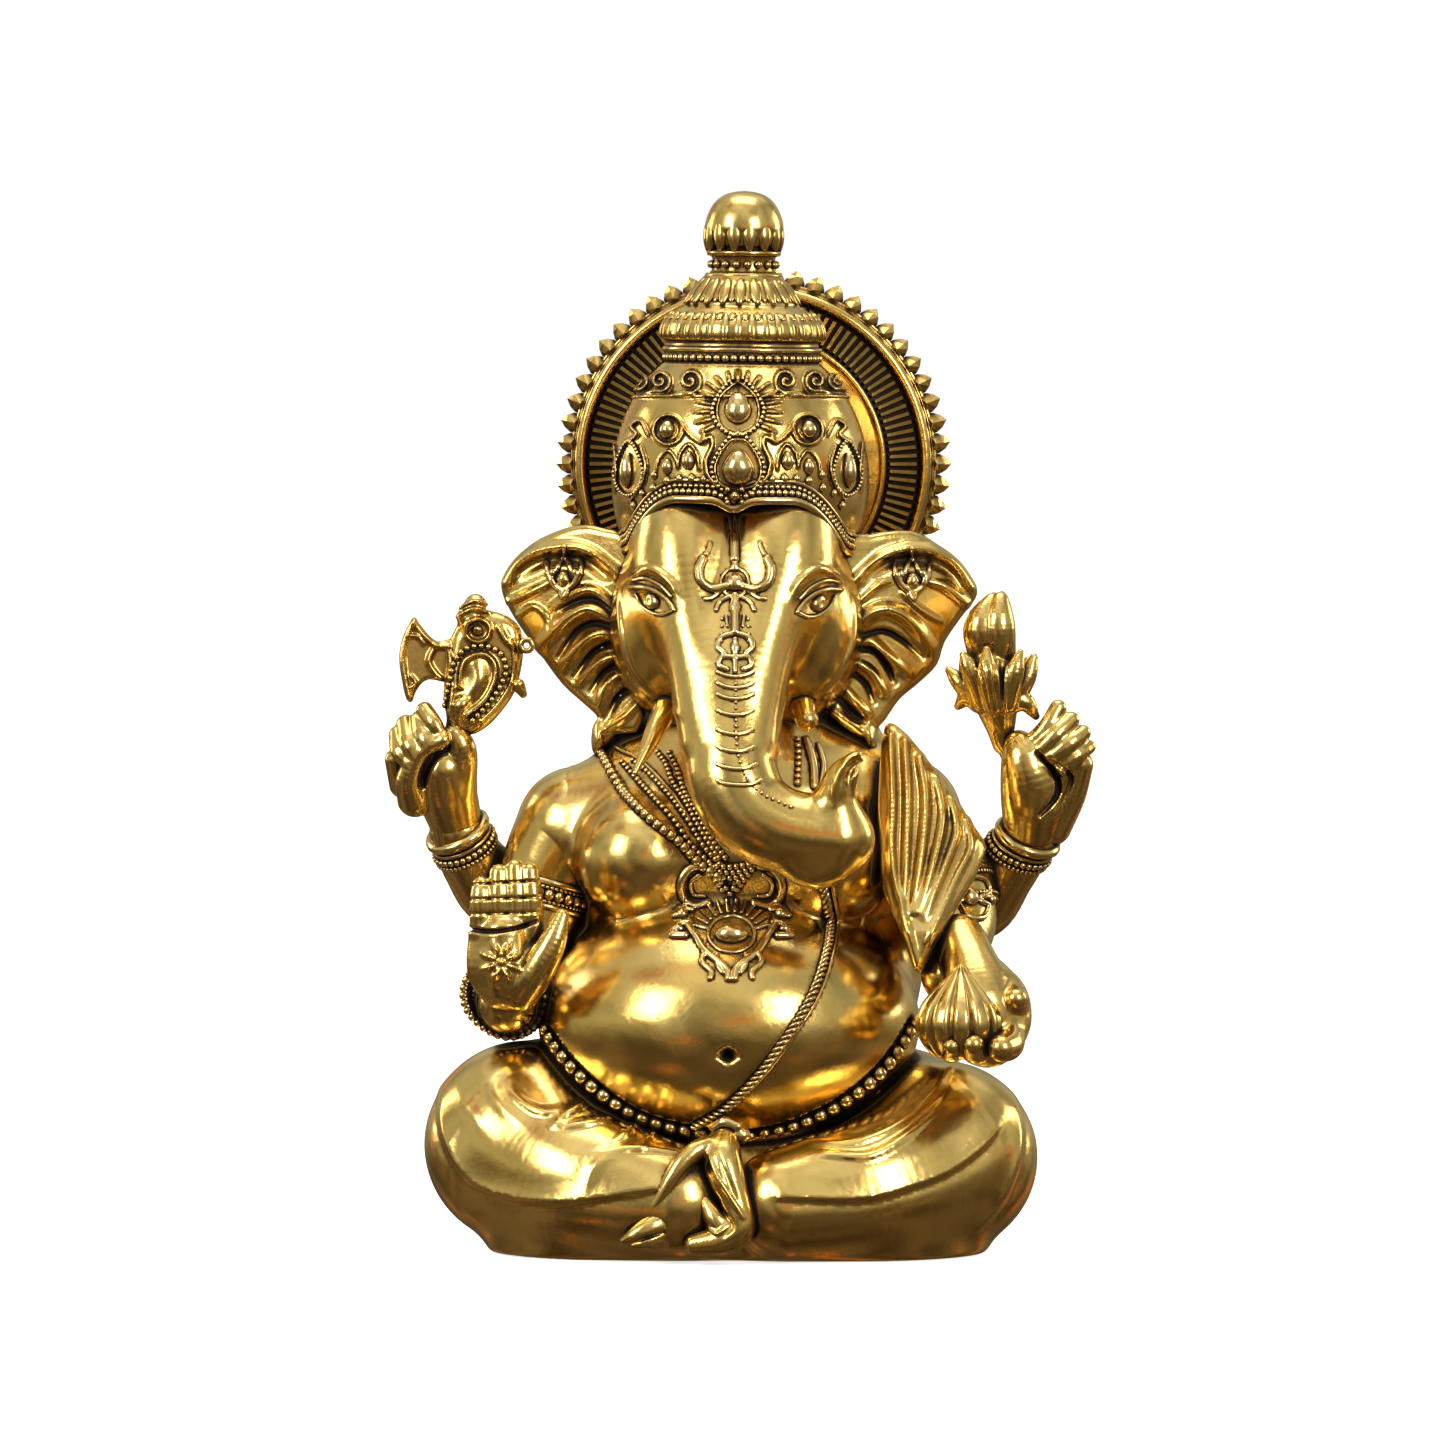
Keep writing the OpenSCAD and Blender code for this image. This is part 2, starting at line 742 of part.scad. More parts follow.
module axe_handle() {
    translate([-63, 2, 84]) rotate([0, 10, 0]) cylinder(h = 30, r = 1.8, $fn = 24);
}

module axe() {
    blade_r = 10;
    head_c = [-56, 2, 117];
    color(brass) {
        axe_handle();
        translate(head_c) rotate([90, 0, 0]) {
            // Crescent blade: a disc with a smaller disc taken from its inner side
            translate([-3, 0, 0]) linear_extrude(2.4, center = true) difference() {
                circle(r = blade_r, $fn = 64);
                translate([8, 0]) circle(r = blade_r, $fn = 64);
            }
            translate([-3, 0, 0]) cube([12, 5, 3], center = true);
            translate([4.5, -4, 0]) linear_extrude(3, center = true) difference() {
                circle(r = 8.6, $fn = 48);
                circle(r = 6.4, $fn = 48);
            }
            translate([4.5, -4, 0]) cylinder(h = 2.4, r = 4.4, center = true, $fn = 40);
            translate([3, 7, 0]) cylinder(h = 4, r = 4.6, center = true, $fn = 40);
        }
        translate(head_c + [4, 0, 12]) sphere(r = 2.6, $fn = 32);
        translate(head_c + [9, 4, 4]) sphere(r = 3.4, $fn = 32);
    }
}

module lotus_stem() {
    translate([62, 2, 86]) rotate([0, -18, 0]) cylinder(h = 26, r = 1.8, $fn = 24);
}

module lotus_bud() {
    petals = 6;
    bud_c = [52, 2, 125];
    color(brass) {
        lotus_stem();
        translate(bud_c + [0, 0, -15]) cylinder(h = 9, r = 2.6, $fn = 32);
        translate(bud_c) {
            rotate_extrude($fn = 48) polygon([
                [0, -8], [4, -7], [6.2, -3], [6, 0.5], [4.4, 3.6], [2, 6], [0, 7.4]
            ]);
            for (i = [0 : petals - 1]) rotate([0, 0, i * 360 / petals]) translate([2.4, 0, -12])
                rotate([0, 38, 0]) cylinder(h = 9, r1 = 1.8, r2 = 0.8, $fn = 20);
            translate([1, 0, -15]) sphere(r = 4.6, $fn = 32);
        }
    }
}

module modak_solid() {
    translate([44, -29, 43]) rotate_extrude($fn = 48) polygon([
        [0, 0], [5, 0.4], [8, 3], [8.8, 6], [7.8, 9.4], [4.6, 12.4], [2, 14.6], [0, 16.4]
    ]);
}

module modak() {
    lobes = 14;
    color(bright_brass) {
        modak_solid();
        translate([44, -29, 43]) for (i = [0 : lobes - 1]) rotate([0, 0, i * 360 / lobes])
            translate([8, 0, 6]) sphere(r = 1.5, $fn = 20);
    }
}

base_plate();
base_screws();
base_posts();
lap_casting();
foot();
front_cloth();
torso_casting();
girdle_beads();
girdle_clasp();
sacred_thread();
necklace_strands();
pendant();
shawl();
head_casting();
trunk();
right_tusk();
left_tusk_stub();
right_ear();
left_ear();
right_ear_ornament();
left_ear_ornament();
eyes();
forehead_tilak();
crown_body();
brow_band();
crown_bead_rows();
crown_jewels();
crown_tier();
crown_finial();
halo_disc();
halo_rivets();
front_right_arm();
front_left_arm();
rear_right_arm();
rear_left_arm();
front_right_hand();
front_left_hand();
rear_right_hand();
rear_left_hand();
right_armlet();
left_armlet();
front_right_bracelet();
rear_right_bracelet();
rear_left_bracelet();
axe();
lotus_bud();
modak();
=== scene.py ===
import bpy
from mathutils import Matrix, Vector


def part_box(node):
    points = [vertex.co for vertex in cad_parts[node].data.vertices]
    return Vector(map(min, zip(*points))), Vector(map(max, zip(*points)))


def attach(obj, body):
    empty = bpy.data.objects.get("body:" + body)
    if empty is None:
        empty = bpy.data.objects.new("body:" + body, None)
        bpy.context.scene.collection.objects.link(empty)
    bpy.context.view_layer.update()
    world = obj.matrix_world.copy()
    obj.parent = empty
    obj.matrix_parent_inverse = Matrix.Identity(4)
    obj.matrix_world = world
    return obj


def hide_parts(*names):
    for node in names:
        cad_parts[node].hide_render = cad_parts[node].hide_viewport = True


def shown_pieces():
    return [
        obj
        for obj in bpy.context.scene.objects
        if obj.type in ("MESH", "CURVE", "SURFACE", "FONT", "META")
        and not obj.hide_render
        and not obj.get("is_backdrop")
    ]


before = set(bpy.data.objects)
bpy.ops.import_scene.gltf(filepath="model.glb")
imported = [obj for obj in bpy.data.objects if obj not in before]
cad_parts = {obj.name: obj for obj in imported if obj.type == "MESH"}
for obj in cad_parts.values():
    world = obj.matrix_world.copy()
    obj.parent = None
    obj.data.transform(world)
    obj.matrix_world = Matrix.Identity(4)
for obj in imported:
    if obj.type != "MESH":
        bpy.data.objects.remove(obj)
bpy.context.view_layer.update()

import math
from concurrent.futures import ThreadPoolExecutor

import bmesh
import bpy
import numpy as np
from mathutils import Matrix, Vector

# ---- The view, the light and the table ----
# The figure stands on a plain white table. Large soft boxes stand at its left,
# right and top, and the dark sides of the room are what polished brass mirrors.

MM = 0.001
view_turn, view_rise, view_distance = math.radians(3), math.radians(2.5), 2.0
view_middle, view_width = Vector((-3.5, 0, 105.6)) * MM, 0.2905

back = Vector((math.sin(view_turn) * math.cos(view_rise), -math.cos(view_turn) * math.cos(view_rise),
               math.sin(view_rise)))
camera = bpy.data.objects.new("camera", bpy.data.cameras.new("camera"))
bpy.context.scene.collection.objects.link(camera)
camera.location = view_middle + back * view_distance
camera.rotation_euler = back.to_track_quat("Z", "Y").to_euler()
sensor_width = 36
camera.data.sensor_width = sensor_width
camera.data.lens = sensor_width * view_distance / view_width
camera.data.clip_start, camera.data.clip_end = 0.05, 20
bpy.context.scene.camera = camera
bpy.context.scene.view_settings.view_transform = "Standard"


def soft_box(name, place, width, height, watts, colour=(1, 1, 1), aim=(0, 0, 0.1)):
    lamp = bpy.data.lights.new(name, "AREA")
    lamp.shape, lamp.size, lamp.size_y = "RECTANGLE", width, height
    lamp.energy, lamp.color = watts, colour
    box = bpy.data.objects.new(name, lamp)
    box.location = place
    box.rotation_euler = (Vector(place) - Vector(aim)).to_track_quat("Z", "Y").to_euler()
    bpy.context.scene.collection.objects.link(box)
    return box


soft_box("box_left", (-0.75, -0.75, 0.62), 0.42, 0.6, 5.4, (1, 0.95, 0.86))
soft_box("box_right", (0.62, -0.85, 0.55), 0.34, 0.55, 5.0, (1, 0.96, 0.88))
soft_box("box_top", (0.0, 0.1, 1.1), 0.7, 0.5, 3.0, (1, 0.97, 0.9))
soft_box("box_rim", (0.9, 0.5, 0.4), 0.3, 0.5, 2.0, (1, 0.9, 0.75))
soft_box("box_rim_left", (-0.9, 0.45, 0.35), 0.25, 0.5, 1.6, (1, 0.85, 0.7))


def tree_of(owner):
    owner.use_nodes = True
    owner.node_tree.nodes.clear()
    return owner.node_tree


def add_node(tree, kind, **settings):
    """A node with its settings; sockets holds a value or a link for each input, by name or by place."""
    node, sockets = tree.nodes.new(kind), settings.pop("sockets", {})
    for key, value in settings.items():
        setattr(node, key, value)
    for key, value in sockets.items():
        if isinstance(value, bpy.types.NodeSocket):
            tree.links.new(value, node.inputs[key])
        else:
            node.inputs[key].default_value = value
    return node


def maths(tree, operation, *values, **settings):
    """The result of a maths node on numbers and links."""
    return add_node(tree, "ShaderNodeMath", operation=operation, sockets=dict(enumerate(values)),
                    **settings).outputs[0]


def colour_ramp(tree, source, stops):
    ramp = add_node(tree, "ShaderNodeValToRGB", sockets={0: source})
    while len(ramp.color_ramp.elements) < len(stops):
        ramp.color_ramp.elements.new(0.5)
    for element, (place, colour) in zip(ramp.color_ramp.elements, stops):
        element.position = place
        element.color = (*colour, 1)
    return ramp.outputs[0]


room = bpy.data.worlds.new("room")
bpy.context.scene.world = room
t = tree_of(room)
ray = add_node(t, "ShaderNodeTexCoord").outputs["Generated"]
split = add_node(t, "ShaderNodeSeparateXYZ", sockets={0: ray})
height = add_node(t, "ShaderNodeMapRange", sockets={0: split.outputs["Z"], 1: -1.0, 2: 1.0})
walls = colour_ramp(t, height.outputs[0], [
    (0.0, (0.09, 0.06, 0.035)), (0.40, (0.16, 0.12, 0.075)), (0.50, (0.30, 0.27, 0.19)),
    (0.56, (0.44, 0.43, 0.33)), (0.72, (0.39, 0.39, 0.31)), (0.86, (0.58, 0.57, 0.50)),
    (1.0, (0.9, 0.88, 0.82))])
patches = add_node(t, "ShaderNodeTexNoise", sockets={"Vector": ray, "Scale": 2.3, "Detail": 2.0})
patch = add_node(t, "ShaderNodeMapRange",
                 sockets={0: patches.outputs["Fac"], 1: 0.35, 2: 0.68, 3: 0.45, 4: 1.45})
glow_spots = add_node(t, "ShaderNodeTexNoise",
                      sockets={"Vector": ray, "Scale": 3.1, "Detail": 1.0, "Roughness": 0.3})
warm = add_node(t, "ShaderNodeMapRange", sockets={0: glow_spots.outputs["Fac"], 1: 0.64, 2: 0.74})
walls = add_node(t, "ShaderNodeMix", data_type="RGBA",
                 sockets={0: warm.outputs[0], 6: walls, 7: (0.62, 0.20, 0.05, 1)}).outputs[2]
room_light = add_node(t, "ShaderNodeBackground", sockets={"Color": walls, "Strength": patch.outputs[0]})
white = add_node(t, "ShaderNodeBackground", sockets={"Color": (1, 1, 1, 1), "Strength": 1.0})
seen_by = add_node(t, "ShaderNodeLightPath")
sky = add_node(t, "ShaderNodeMixShader", sockets={0: seen_by.outputs["Is Camera Ray"],
                                                  1: room_light.outputs[0], 2: white.outputs[0]})
add_node(t, "ShaderNodeOutputWorld", sockets={0: sky.outputs[0]})

table = bpy.data.meshes.new("table")
table.from_pydata([(-8, -8, 0), (8, -8, 0), (8, 8, 0), (-8, 8, 0)], [], [(0, 1, 2, 3)])
table = bpy.data.objects.new("table", table)
bpy.context.scene.collection.objects.link(table)
paper = bpy.data.materials.new("white_paper")
t = tree_of(paper)
fibres = add_node(t, "ShaderNodeTexNoise", sockets={"Scale": 900.0, "Detail": 3.0})
tint = colour_ramp(t, fibres.outputs["Fac"], [(0.3, (0.86, 0.86, 0.86)), (0.7, (0.9, 0.9, 0.9))])
sheet = add_node(t, "ShaderNodeBsdfDiffuse", sockets={"Color": tint})
glow = add_node(t, "ShaderNodeEmission", sockets={"Color": (1, 1, 1, 1), "Strength": 0.72})
both = add_node(t, "ShaderNodeAddShader", sockets={0: sheet.outputs[0], 1: glow.outputs[0]})
add_node(t, "ShaderNodeOutputMaterial", sockets={0: both.outputs[0]})
table.data.materials.append(paper)
table.visible_glossy = False
table.visible_diffuse = False
table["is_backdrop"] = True

# ---- Base plate, its screws and posts ----
# A sawn and filed brass plate closes the casting from below, held by four zinc
# plated screws that run into threaded posts cast inside the lap.


def metal(name, polished, deep, patina_and_shade_colour, rough, grain=0.6):
    """Old cast metal: bright where hands and cloth reach it, dark in the corners that they miss.

    The piece's own depth attribute says how deep each place lies, from 0 to 1. The dark laid there is
    the metal's own oxide together with painted shade in the enclosed places.
    """
    made = bpy.data.materials.new(name)
    t = tree_of(made)
    place = add_node(t, "ShaderNodeTexCoord").outputs["Object"]

    def noise(scale, detail, roughness=0.6):
        return add_node(t, "ShaderNodeTexNoise", sockets={
            "Vector": place, "Scale": scale, "Detail": detail, "Roughness": roughness}).outputs["Fac"]

    cloud, speck, pits = noise(70.0, 4.0), noise(900.0, 3.0), noise(420.0, 5.0, 0.65)
    depth = add_node(t, "ShaderNodeAttribute", attribute_name="patina").outputs["Fac"]
    uneven = maths(t, "MULTIPLY_ADD", cloud, 0.22, -0.11)
    spots = maths(t, "MULTIPLY_ADD", speck, 0.16, -0.08)
    total = maths(t, "ADD", maths(t, "ADD", depth, uneven), spots)
    # Dark oxide together with painted shade: places that lie deep blend to the near-black hollow colour and
    # turn rougher and less metallic.
    patina_and_shade_mask = add_node(t, "ShaderNodeMapRange", interpolation_type="SMOOTHSTEP",
                    sockets={0: total, 1: 0.30, 2: 0.66}).outputs[0]
    tone = colour_ramp(t, cloud, [(0.35, polished), (0.65, deep)])
    # Painted shade: the tone is multiplied down towards brown as the place lies deeper between its
    # neighbours.
    shade = colour_ramp(t, total, [(0.10, (1, 1, 1)), (0.42, (0.62, 0.52, 0.40))])
    shaded_tone = add_node(t, "ShaderNodeMix", data_type="RGBA", blend_type="MULTIPLY",
                    sockets={0: 1.0, 6: tone, 7: shade})
    colour = add_node(t, "ShaderNodeMix", data_type="RGBA",
                      sockets={0: patina_and_shade_mask, 6: shaded_tone.outputs[2], 7: (*patina_and_shade_colour, 1)})
    gloss = add_node(t, "ShaderNodeMapRange",
                     sockets={0: speck, 1: 0.3, 2: 0.7, 3: rough - 0.02, 4: rough + 0.03})
    bump = add_node(t, "ShaderNodeBump",
                    sockets={"Strength": 0.22 * grain, "Distance": 0.0004, "Height": pits})
    wave = add_node(t, "ShaderNodeBump", sockets={
        "Strength": 0.5 * grain, "Distance": 0.0006, "Height": cloud, "Normal": bump.outputs[0]})
    shader = add_node(t, "ShaderNodeBsdfPrincipled", sockets={
        "Base Color": colour.outputs[2], "Metallic": maths(t, "MULTIPLY_ADD", patina_and_shade_mask, -0.75, 1.0),
        "Roughness": maths(t, "MULTIPLY_ADD", patina_and_shade_mask, 0.34, gloss.outputs[0]), "Normal": wave.outputs[0]})
    add_node(t, "ShaderNodeOutputMaterial", sockets={0: shader.outputs[0]})
    return made


# Each metal's third colour is the near-black of its hollows: dark oxide together with painted shade.
dull_brass = metal("dull_brass", (0.60, 0.42, 0.16), (0.46, 0.31, 0.11), (0.05, 0.03, 0.015), 0.34)
zinc = metal("zinc", (0.62, 0.62, 0.60), (0.48, 0.48, 0.47), (0.10, 0.09, 0.08), 0.30)
for node_name, finish in (("base_plate", dull_brass), ("base_posts", dull_brass),
                          ("halo_rivets", dull_brass),
                          ("base_screws", zinc)):
    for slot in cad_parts[node_name].material_slots:
        slot.material = finish

# ---- Lap casting ----
# The crossed legs under a thin cloth, one hollow brass casting with a flat rim
# below. The form was modelled in wax, so folds and creases are soft.

antique = metal("antique_brass", (0.88, 0.65, 0.235), (0.79, 0.54, 0.165), (0.026, 0.015, 0.008), 0.20)

# Places on the front are given in its drawing: millimetres across and up a sheet
# that faces the viewer and passes through the origin.
across = np.array([math.cos(view_turn), math.sin(view_turn), 0], np.float32)
upward = np.array([-math.sin(view_turn) * math.sin(view_rise), math.cos(view_turn) * math.sin(view_rise),
                   math.cos(view_rise)], np.float32)
inward = -np.array(back, np.float32)
drawing = np.stack([across, upward], 1)


def route(points, steps=5):
    """A smooth route through the points, which may carry a radius or a height as their last number."""
    p = np.array(points, np.float64)
    p = np.vstack([2 * p[0] - p[1], p, 2 * p[-1] - p[-2]])
    rows = []
    for a, b, c, d in zip(p[:-3], p[1:-2], p[2:-1], p[3:]):
        for t in np.arange(steps) / steps:
            rows.append(0.5 * (2 * b + (c - a) * t + (2 * a - 5 * b + 4 * c - d) * t * t
                               + (3 * b - a - 3 * c + d) * t ** 3))
    return np.array(rows + [p[-2]], np.float32)


def nearby(solid, low, high, margin=7.0):
    """The solid's distance close to its box, and the box's distance elsewhere, which is quicker."""
    low, high = np.array(low, np.float32) - margin, np.array(high, np.float32) + margin

    def distance(p):
        gap = np.sqrt((np.maximum(np.maximum(low - p, p - high), 0) ** 2).sum(1))
        inside = gap == 0
        d = gap + margin
        if inside.any():
            d[inside] = solid(p[inside])
        return d
    return distance


def limb(points, steps=5):
    """A rounded body of changing thickness along a route of x, y, z and radius."""
    line = route(points, steps)

    def distance(p):
        best = np.full(len(p), 1e3, np.float32)
        for a, b in zip(line[:-1], line[1:]):
            ab, q = b[:3] - a[:3], p - a[:3]
            t = np.clip(q @ ab / max(ab @ ab, 1e-9), 0, 1)
            q -= t[:, None] * ab
            np.minimum(best, np.sqrt((q * q).sum(1)) - (a[3] + t * (b[3] - a[3])), out=best)
        return best
    return nearby(distance, (line[:, :3] - line[:, 3:]).min(0), (line[:, :3] + line[:, 3:]).max(0))


def blob(centre, radii):
    c, r = np.array(centre, np.float32), np.array(radii, np.float32)

    def distance(p):
        q = (p - c) / r
        k = np.sqrt((q * q).sum(1))
        return k * (k - 1) / np.maximum(np.sqrt(((q / r) ** 2).sum(1)), 1e-6)
    return distance


def join(soft, *solids):
    def distance(p):
        d = solids[0](p)
        for solid in solids[1:]:
            e = solid(p)
            h = np.clip(0.5 + 0.5 * (e - d) / soft, 0, 1)
            d = e + (d - e) * h - soft * h * (1 - h)
        return d
    return distance


def cut(soft, body, *tools):
    def distance(p):
        d = body(p)
        for tool in tools:
            e = -tool(p)
            h = np.clip(0.5 - 0.5 * (e - d) / soft, 0, 1)
            d = e + (d - e) * h + soft * h * (1 - h)
        return d
    return distance


def nearest(flat, line):
    """Distance to a flat route, the height it carries there, and the side: above 0 is left of its way."""
    best = np.full(len(flat), 1e6, np.float32)
    high, side = np.zeros_like(best), np.zeros_like(best)
    for a, b in zip(line[:-1], line[1:]):
        ab, q = b[:2] - a[:2], flat - a[:2]
        t = np.clip(q @ ab / max(ab @ ab, 1e-9), 0, 1)
        away = ((q - t[:, None] * ab) ** 2).sum(1)
        closer = away < best
        best = np.where(closer, away, best)
        high = np.where(closer, a[-1] + t * (b[-1] - a[-1]), high)
        side = np.where(closer, ab[0] * q[:, 1] - ab[1] * q[:, 0], side)
    return np.sqrt(best), high, side


def chased(body, marks, behind=1000.0):
    """The body with lines worked into it, each a route of across, up and height, a width, and a kind.

    A mark of no kind is a soft ridge. A step rises sharply on the left of its way and fades over its
    width, and a round one is domed. No mark reaches deeper into the figure than behind.
    """
    lines = [(route(points, 4), width, kind) for points, width, *kind in marks]

    def distance(p):
        d = body(p)
        close = np.flatnonzero(np.abs(d) < 4)
        if not len(close):
            return d
        flat = p[close] @ drawing
        lift = np.zeros(len(close), np.float32)
        for line, width, kind in lines:
            low, high = line[:, :2].min(0) - width, line[:, :2].max(0) + width
            here = np.flatnonzero(((flat > low) & (flat < high)).all(1))
            if not len(here):
                continue
            away, tall, side = nearest(flat[here], line)
            share = np.clip(1 - away / width, 0, 1)
            if not kind:
                lift[here] += tall * share * share * (3 - 2 * share)
            elif kind == ["step"]:
                rise = np.clip(np.sign(side) * away / 0.6, -1, 1)
                lift[here] += tall * share * share * (0.2 + 0.8 * rise)
            else:
                lift[here] += tall * np.sqrt(np.clip(1 - (away / width) ** 2, 0, 1))
        d[close] -= lift * np.clip((behind - p[close] @ inward) / 4, 0, 1)
        return d
    return distance


def measure(solid, points):
    chunks = [points[i:i + 30000] for i in range(0, len(points), 30000)]
    if not chunks:
        return np.zeros(0, np.float32)
    with ThreadPoolExecutor(4) as pool:
        return np.concatenate(list(pool.map(solid, chunks)))


def slopes(solid, points, d):
    step = 0.05
    return np.stack([(measure(solid, points + step * np.eye(3, dtype=np.float32)[i]) - d) / step
                     for i in range(3)], 1)


def new_piece(name, points, faces, material, smooth=True):
    """An object of plain mesh, from millimetres; faces is one array of triangles or of four-sided faces."""
    mesh = bpy.data.meshes.new(name)
    points, faces = np.asarray(points, np.float32) * MM, np.asarray(faces, np.int32)
    mesh.vertices.add(len(points))
    mesh.vertices.foreach_set("co", points.ravel())
    mesh.loops.add(faces.size)
    mesh.loops.foreach_set("vertex_index", faces.ravel())
    mesh.polygons.add(len(faces))
    mesh.polygons.foreach_set("loop_start", np.arange(0, faces.size, faces.shape[1], dtype=np.int32))
    mesh.polygons.foreach_set("use_smooth", np.full(len(faces), smooth))
    mesh.update(calc_edges=True)
    mesh.validate()
    mesh.materials.append(material)
    piece = bpy.data.objects.new(name, mesh)
    bpy.context.scene.collection.objects.link(piece)
    return piece


def cast(name, solid, low, high, step, material):
    """Skins the solid inside a box with an even net of small faces.

    A coarse grid, block cells apart, finds where the surface can be, and only there is the solid
    measured cell by cell.
    """
    block = 4
    low = np.array(low, np.float32)
    n = np.ceil((np.array(high) - low) / (block * step)).astype(int)
    knots = np.stack(np.meshgrid(*[np.arange(k + 1) for k in n], indexing="ij"), -1).reshape(-1, 3)
    rough = measure(solid, (low + knots * block * step).astype(np.float32)).reshape(n + 1)
    near = np.full(n, 1e6, np.float32)
    for i in (0, 1):
        for j in (0, 1):
            for k in (0, 1):
                near = np.minimum(near, np.abs(rough[i:n[0] + i, j:n[1] + j, k:n[2] + k]))
    cells = np.argwhere(near < 4.6 * step + 1.2)
    field = rough[:-1, :-1, :-1].repeat(block, 0).repeat(block, 1).repeat(block, 2)
    inner = np.stack(np.meshgrid(*[np.arange(block)] * 3, indexing="ij"), -1).reshape(-1, 3)
    knots = (cells[:, None] * block + inner).reshape(-1, 3)
    field[tuple(knots.T)] = measure(solid, (low + knots * step).astype(np.float32))
    inside = field < 0
    total = sum(inside[i:field.shape[0] - 1 + i, j:field.shape[1] - 1 + j,
                       k:field.shape[2] - 1 + k].astype(np.int8)
                for i in (0, 1) for j in (0, 1) for k in (0, 1))
    cells = np.argwhere((total > 0) & (total < 8))
    number = np.full(total.shape, -1, np.int32)
    number[tuple(cells.T)] = np.arange(len(cells))
    corners = np.array([(i, j, k) for i in (0, 1) for j in (0, 1) for k in (0, 1)])
    value = field[tuple((cells[:, None] + corners).reshape(-1, 3).T)].reshape(-1, 8)
    middle, count = np.zeros((len(cells), 3), np.float32), np.zeros(len(cells), np.float32)
    for a in range(8):
        for b in range(a + 1, 8):
            if np.abs(corners[a] - corners[b]).sum() != 1:
                continue
            crossed = (value[:, a] < 0) != (value[:, b] < 0)
            t = value[:, a] / np.where(crossed, value[:, a] - value[:, b], 1)
            middle += crossed[:, None] * (corners[a] + t[:, None] * (corners[b] - corners[a]))
            count += crossed
    points = (low + step * (cells + middle / count[:, None])).astype(np.float32)
    faces = []
    for axis in range(3):
        u, v = np.eye(3, dtype=int)[(axis + 1) % 3], np.eye(3, dtype=int)[(axis + 2) % 3]
        first = inside[:-1, :-1, :-1]
        second = np.roll(inside, -1, axis)[:-1, :-1, :-1]
        at = np.argwhere(first != second)
        at = at[(at[:, (axis + 1) % 3] > 0) & (at[:, (axis + 2) % 3] > 0)]
        ring = np.stack([number[tuple((at - s).T)] for s in (0 * u, u, u + v, v)], 1)
        flip = ~first[tuple(at.T)]
        ring[flip] = ring[flip][:, ::-1]
        faces.append(ring[(ring >= 0).all(1)])
    for _ in range(2):
        d = measure(solid, points)
        g = slopes(solid, points, d)
        move = g * (d / np.maximum((g * g).sum(1), 0.2))[:, None]
        points -= np.clip(move, -0.7 * step, 0.7 * step)
    return new_piece(name, points, np.concatenate(faces), material)


def ready(piece, *nodes, slot="antique_brass"):
    """Rides on the figure's one body and stands for the named solids."""
    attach(piece, "root")
    if nodes:
        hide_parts(*nodes)
    return piece


girdle_right = [(-38.8, 44), (-36.2, 40.4), (-32.2, 36), (-27, 31.6), (-21.2, 27.8), (-14.8, 25.4),
                (-8, 24.2)]
girdle_left = [(2, 23.6), (9, 25), (15, 27.2), (21, 30.6), (26.4, 34.8), (30.6, 39.4), (34.4, 45)]

legs = join(
    5,
    limb([(-16, 22, 21, 21), (-33, 8, 22, 20), (-42.6, -8, 22.3, 19.4)], 14),
    limb([(-42.9, -11, 20.5, 18.6), (-29, -25, 15, 14.5), (-11, -31, 11.5, 11.5)], 14),
    limb([(16, 22, 21, 21), (32, 8, 20, 19.5), (40.8, -8, 19.6, 18.2)], 14),
    limb([(41.3, -11, 18.5, 17.6), (28, -25, 14.5, 14), (11, -31, 11.5, 11.5)], 14),
    blob((0, 10, 16), (36, 31, 21)))
sole = limb([(-40, 12, 8, 7.5), (-44, -6, 8.5, 8), (-30, -20, 7.5, 7), (0, -25, 7, 6.5), (30, -20, 7.5, 7),
             (42, -6, 8, 8),
             (38, 12, 8, 7.5)])
plate_low, plate_high = (np.array(corner, np.float32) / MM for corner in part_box("base_plate"))
ledge, foot_corner, foot_height = 3, 19, 9


def foot_slab(p):
    """The casting's flat foot, a rounded slab that stands a ledge's width outside the base plate."""
    q = (np.abs(p - (plate_low + plate_high) / 2)[:, :2]
         - (plate_high - plate_low)[:2] / 2 - ledge + foot_corner)
    rim = np.sqrt((np.maximum(q, 0) ** 2).sum(1)) + np.minimum(q.max(1), 0) - foot_corner
    return np.maximum(rim, np.abs(p[:, 2] - foot_height / 2) - foot_height / 2)


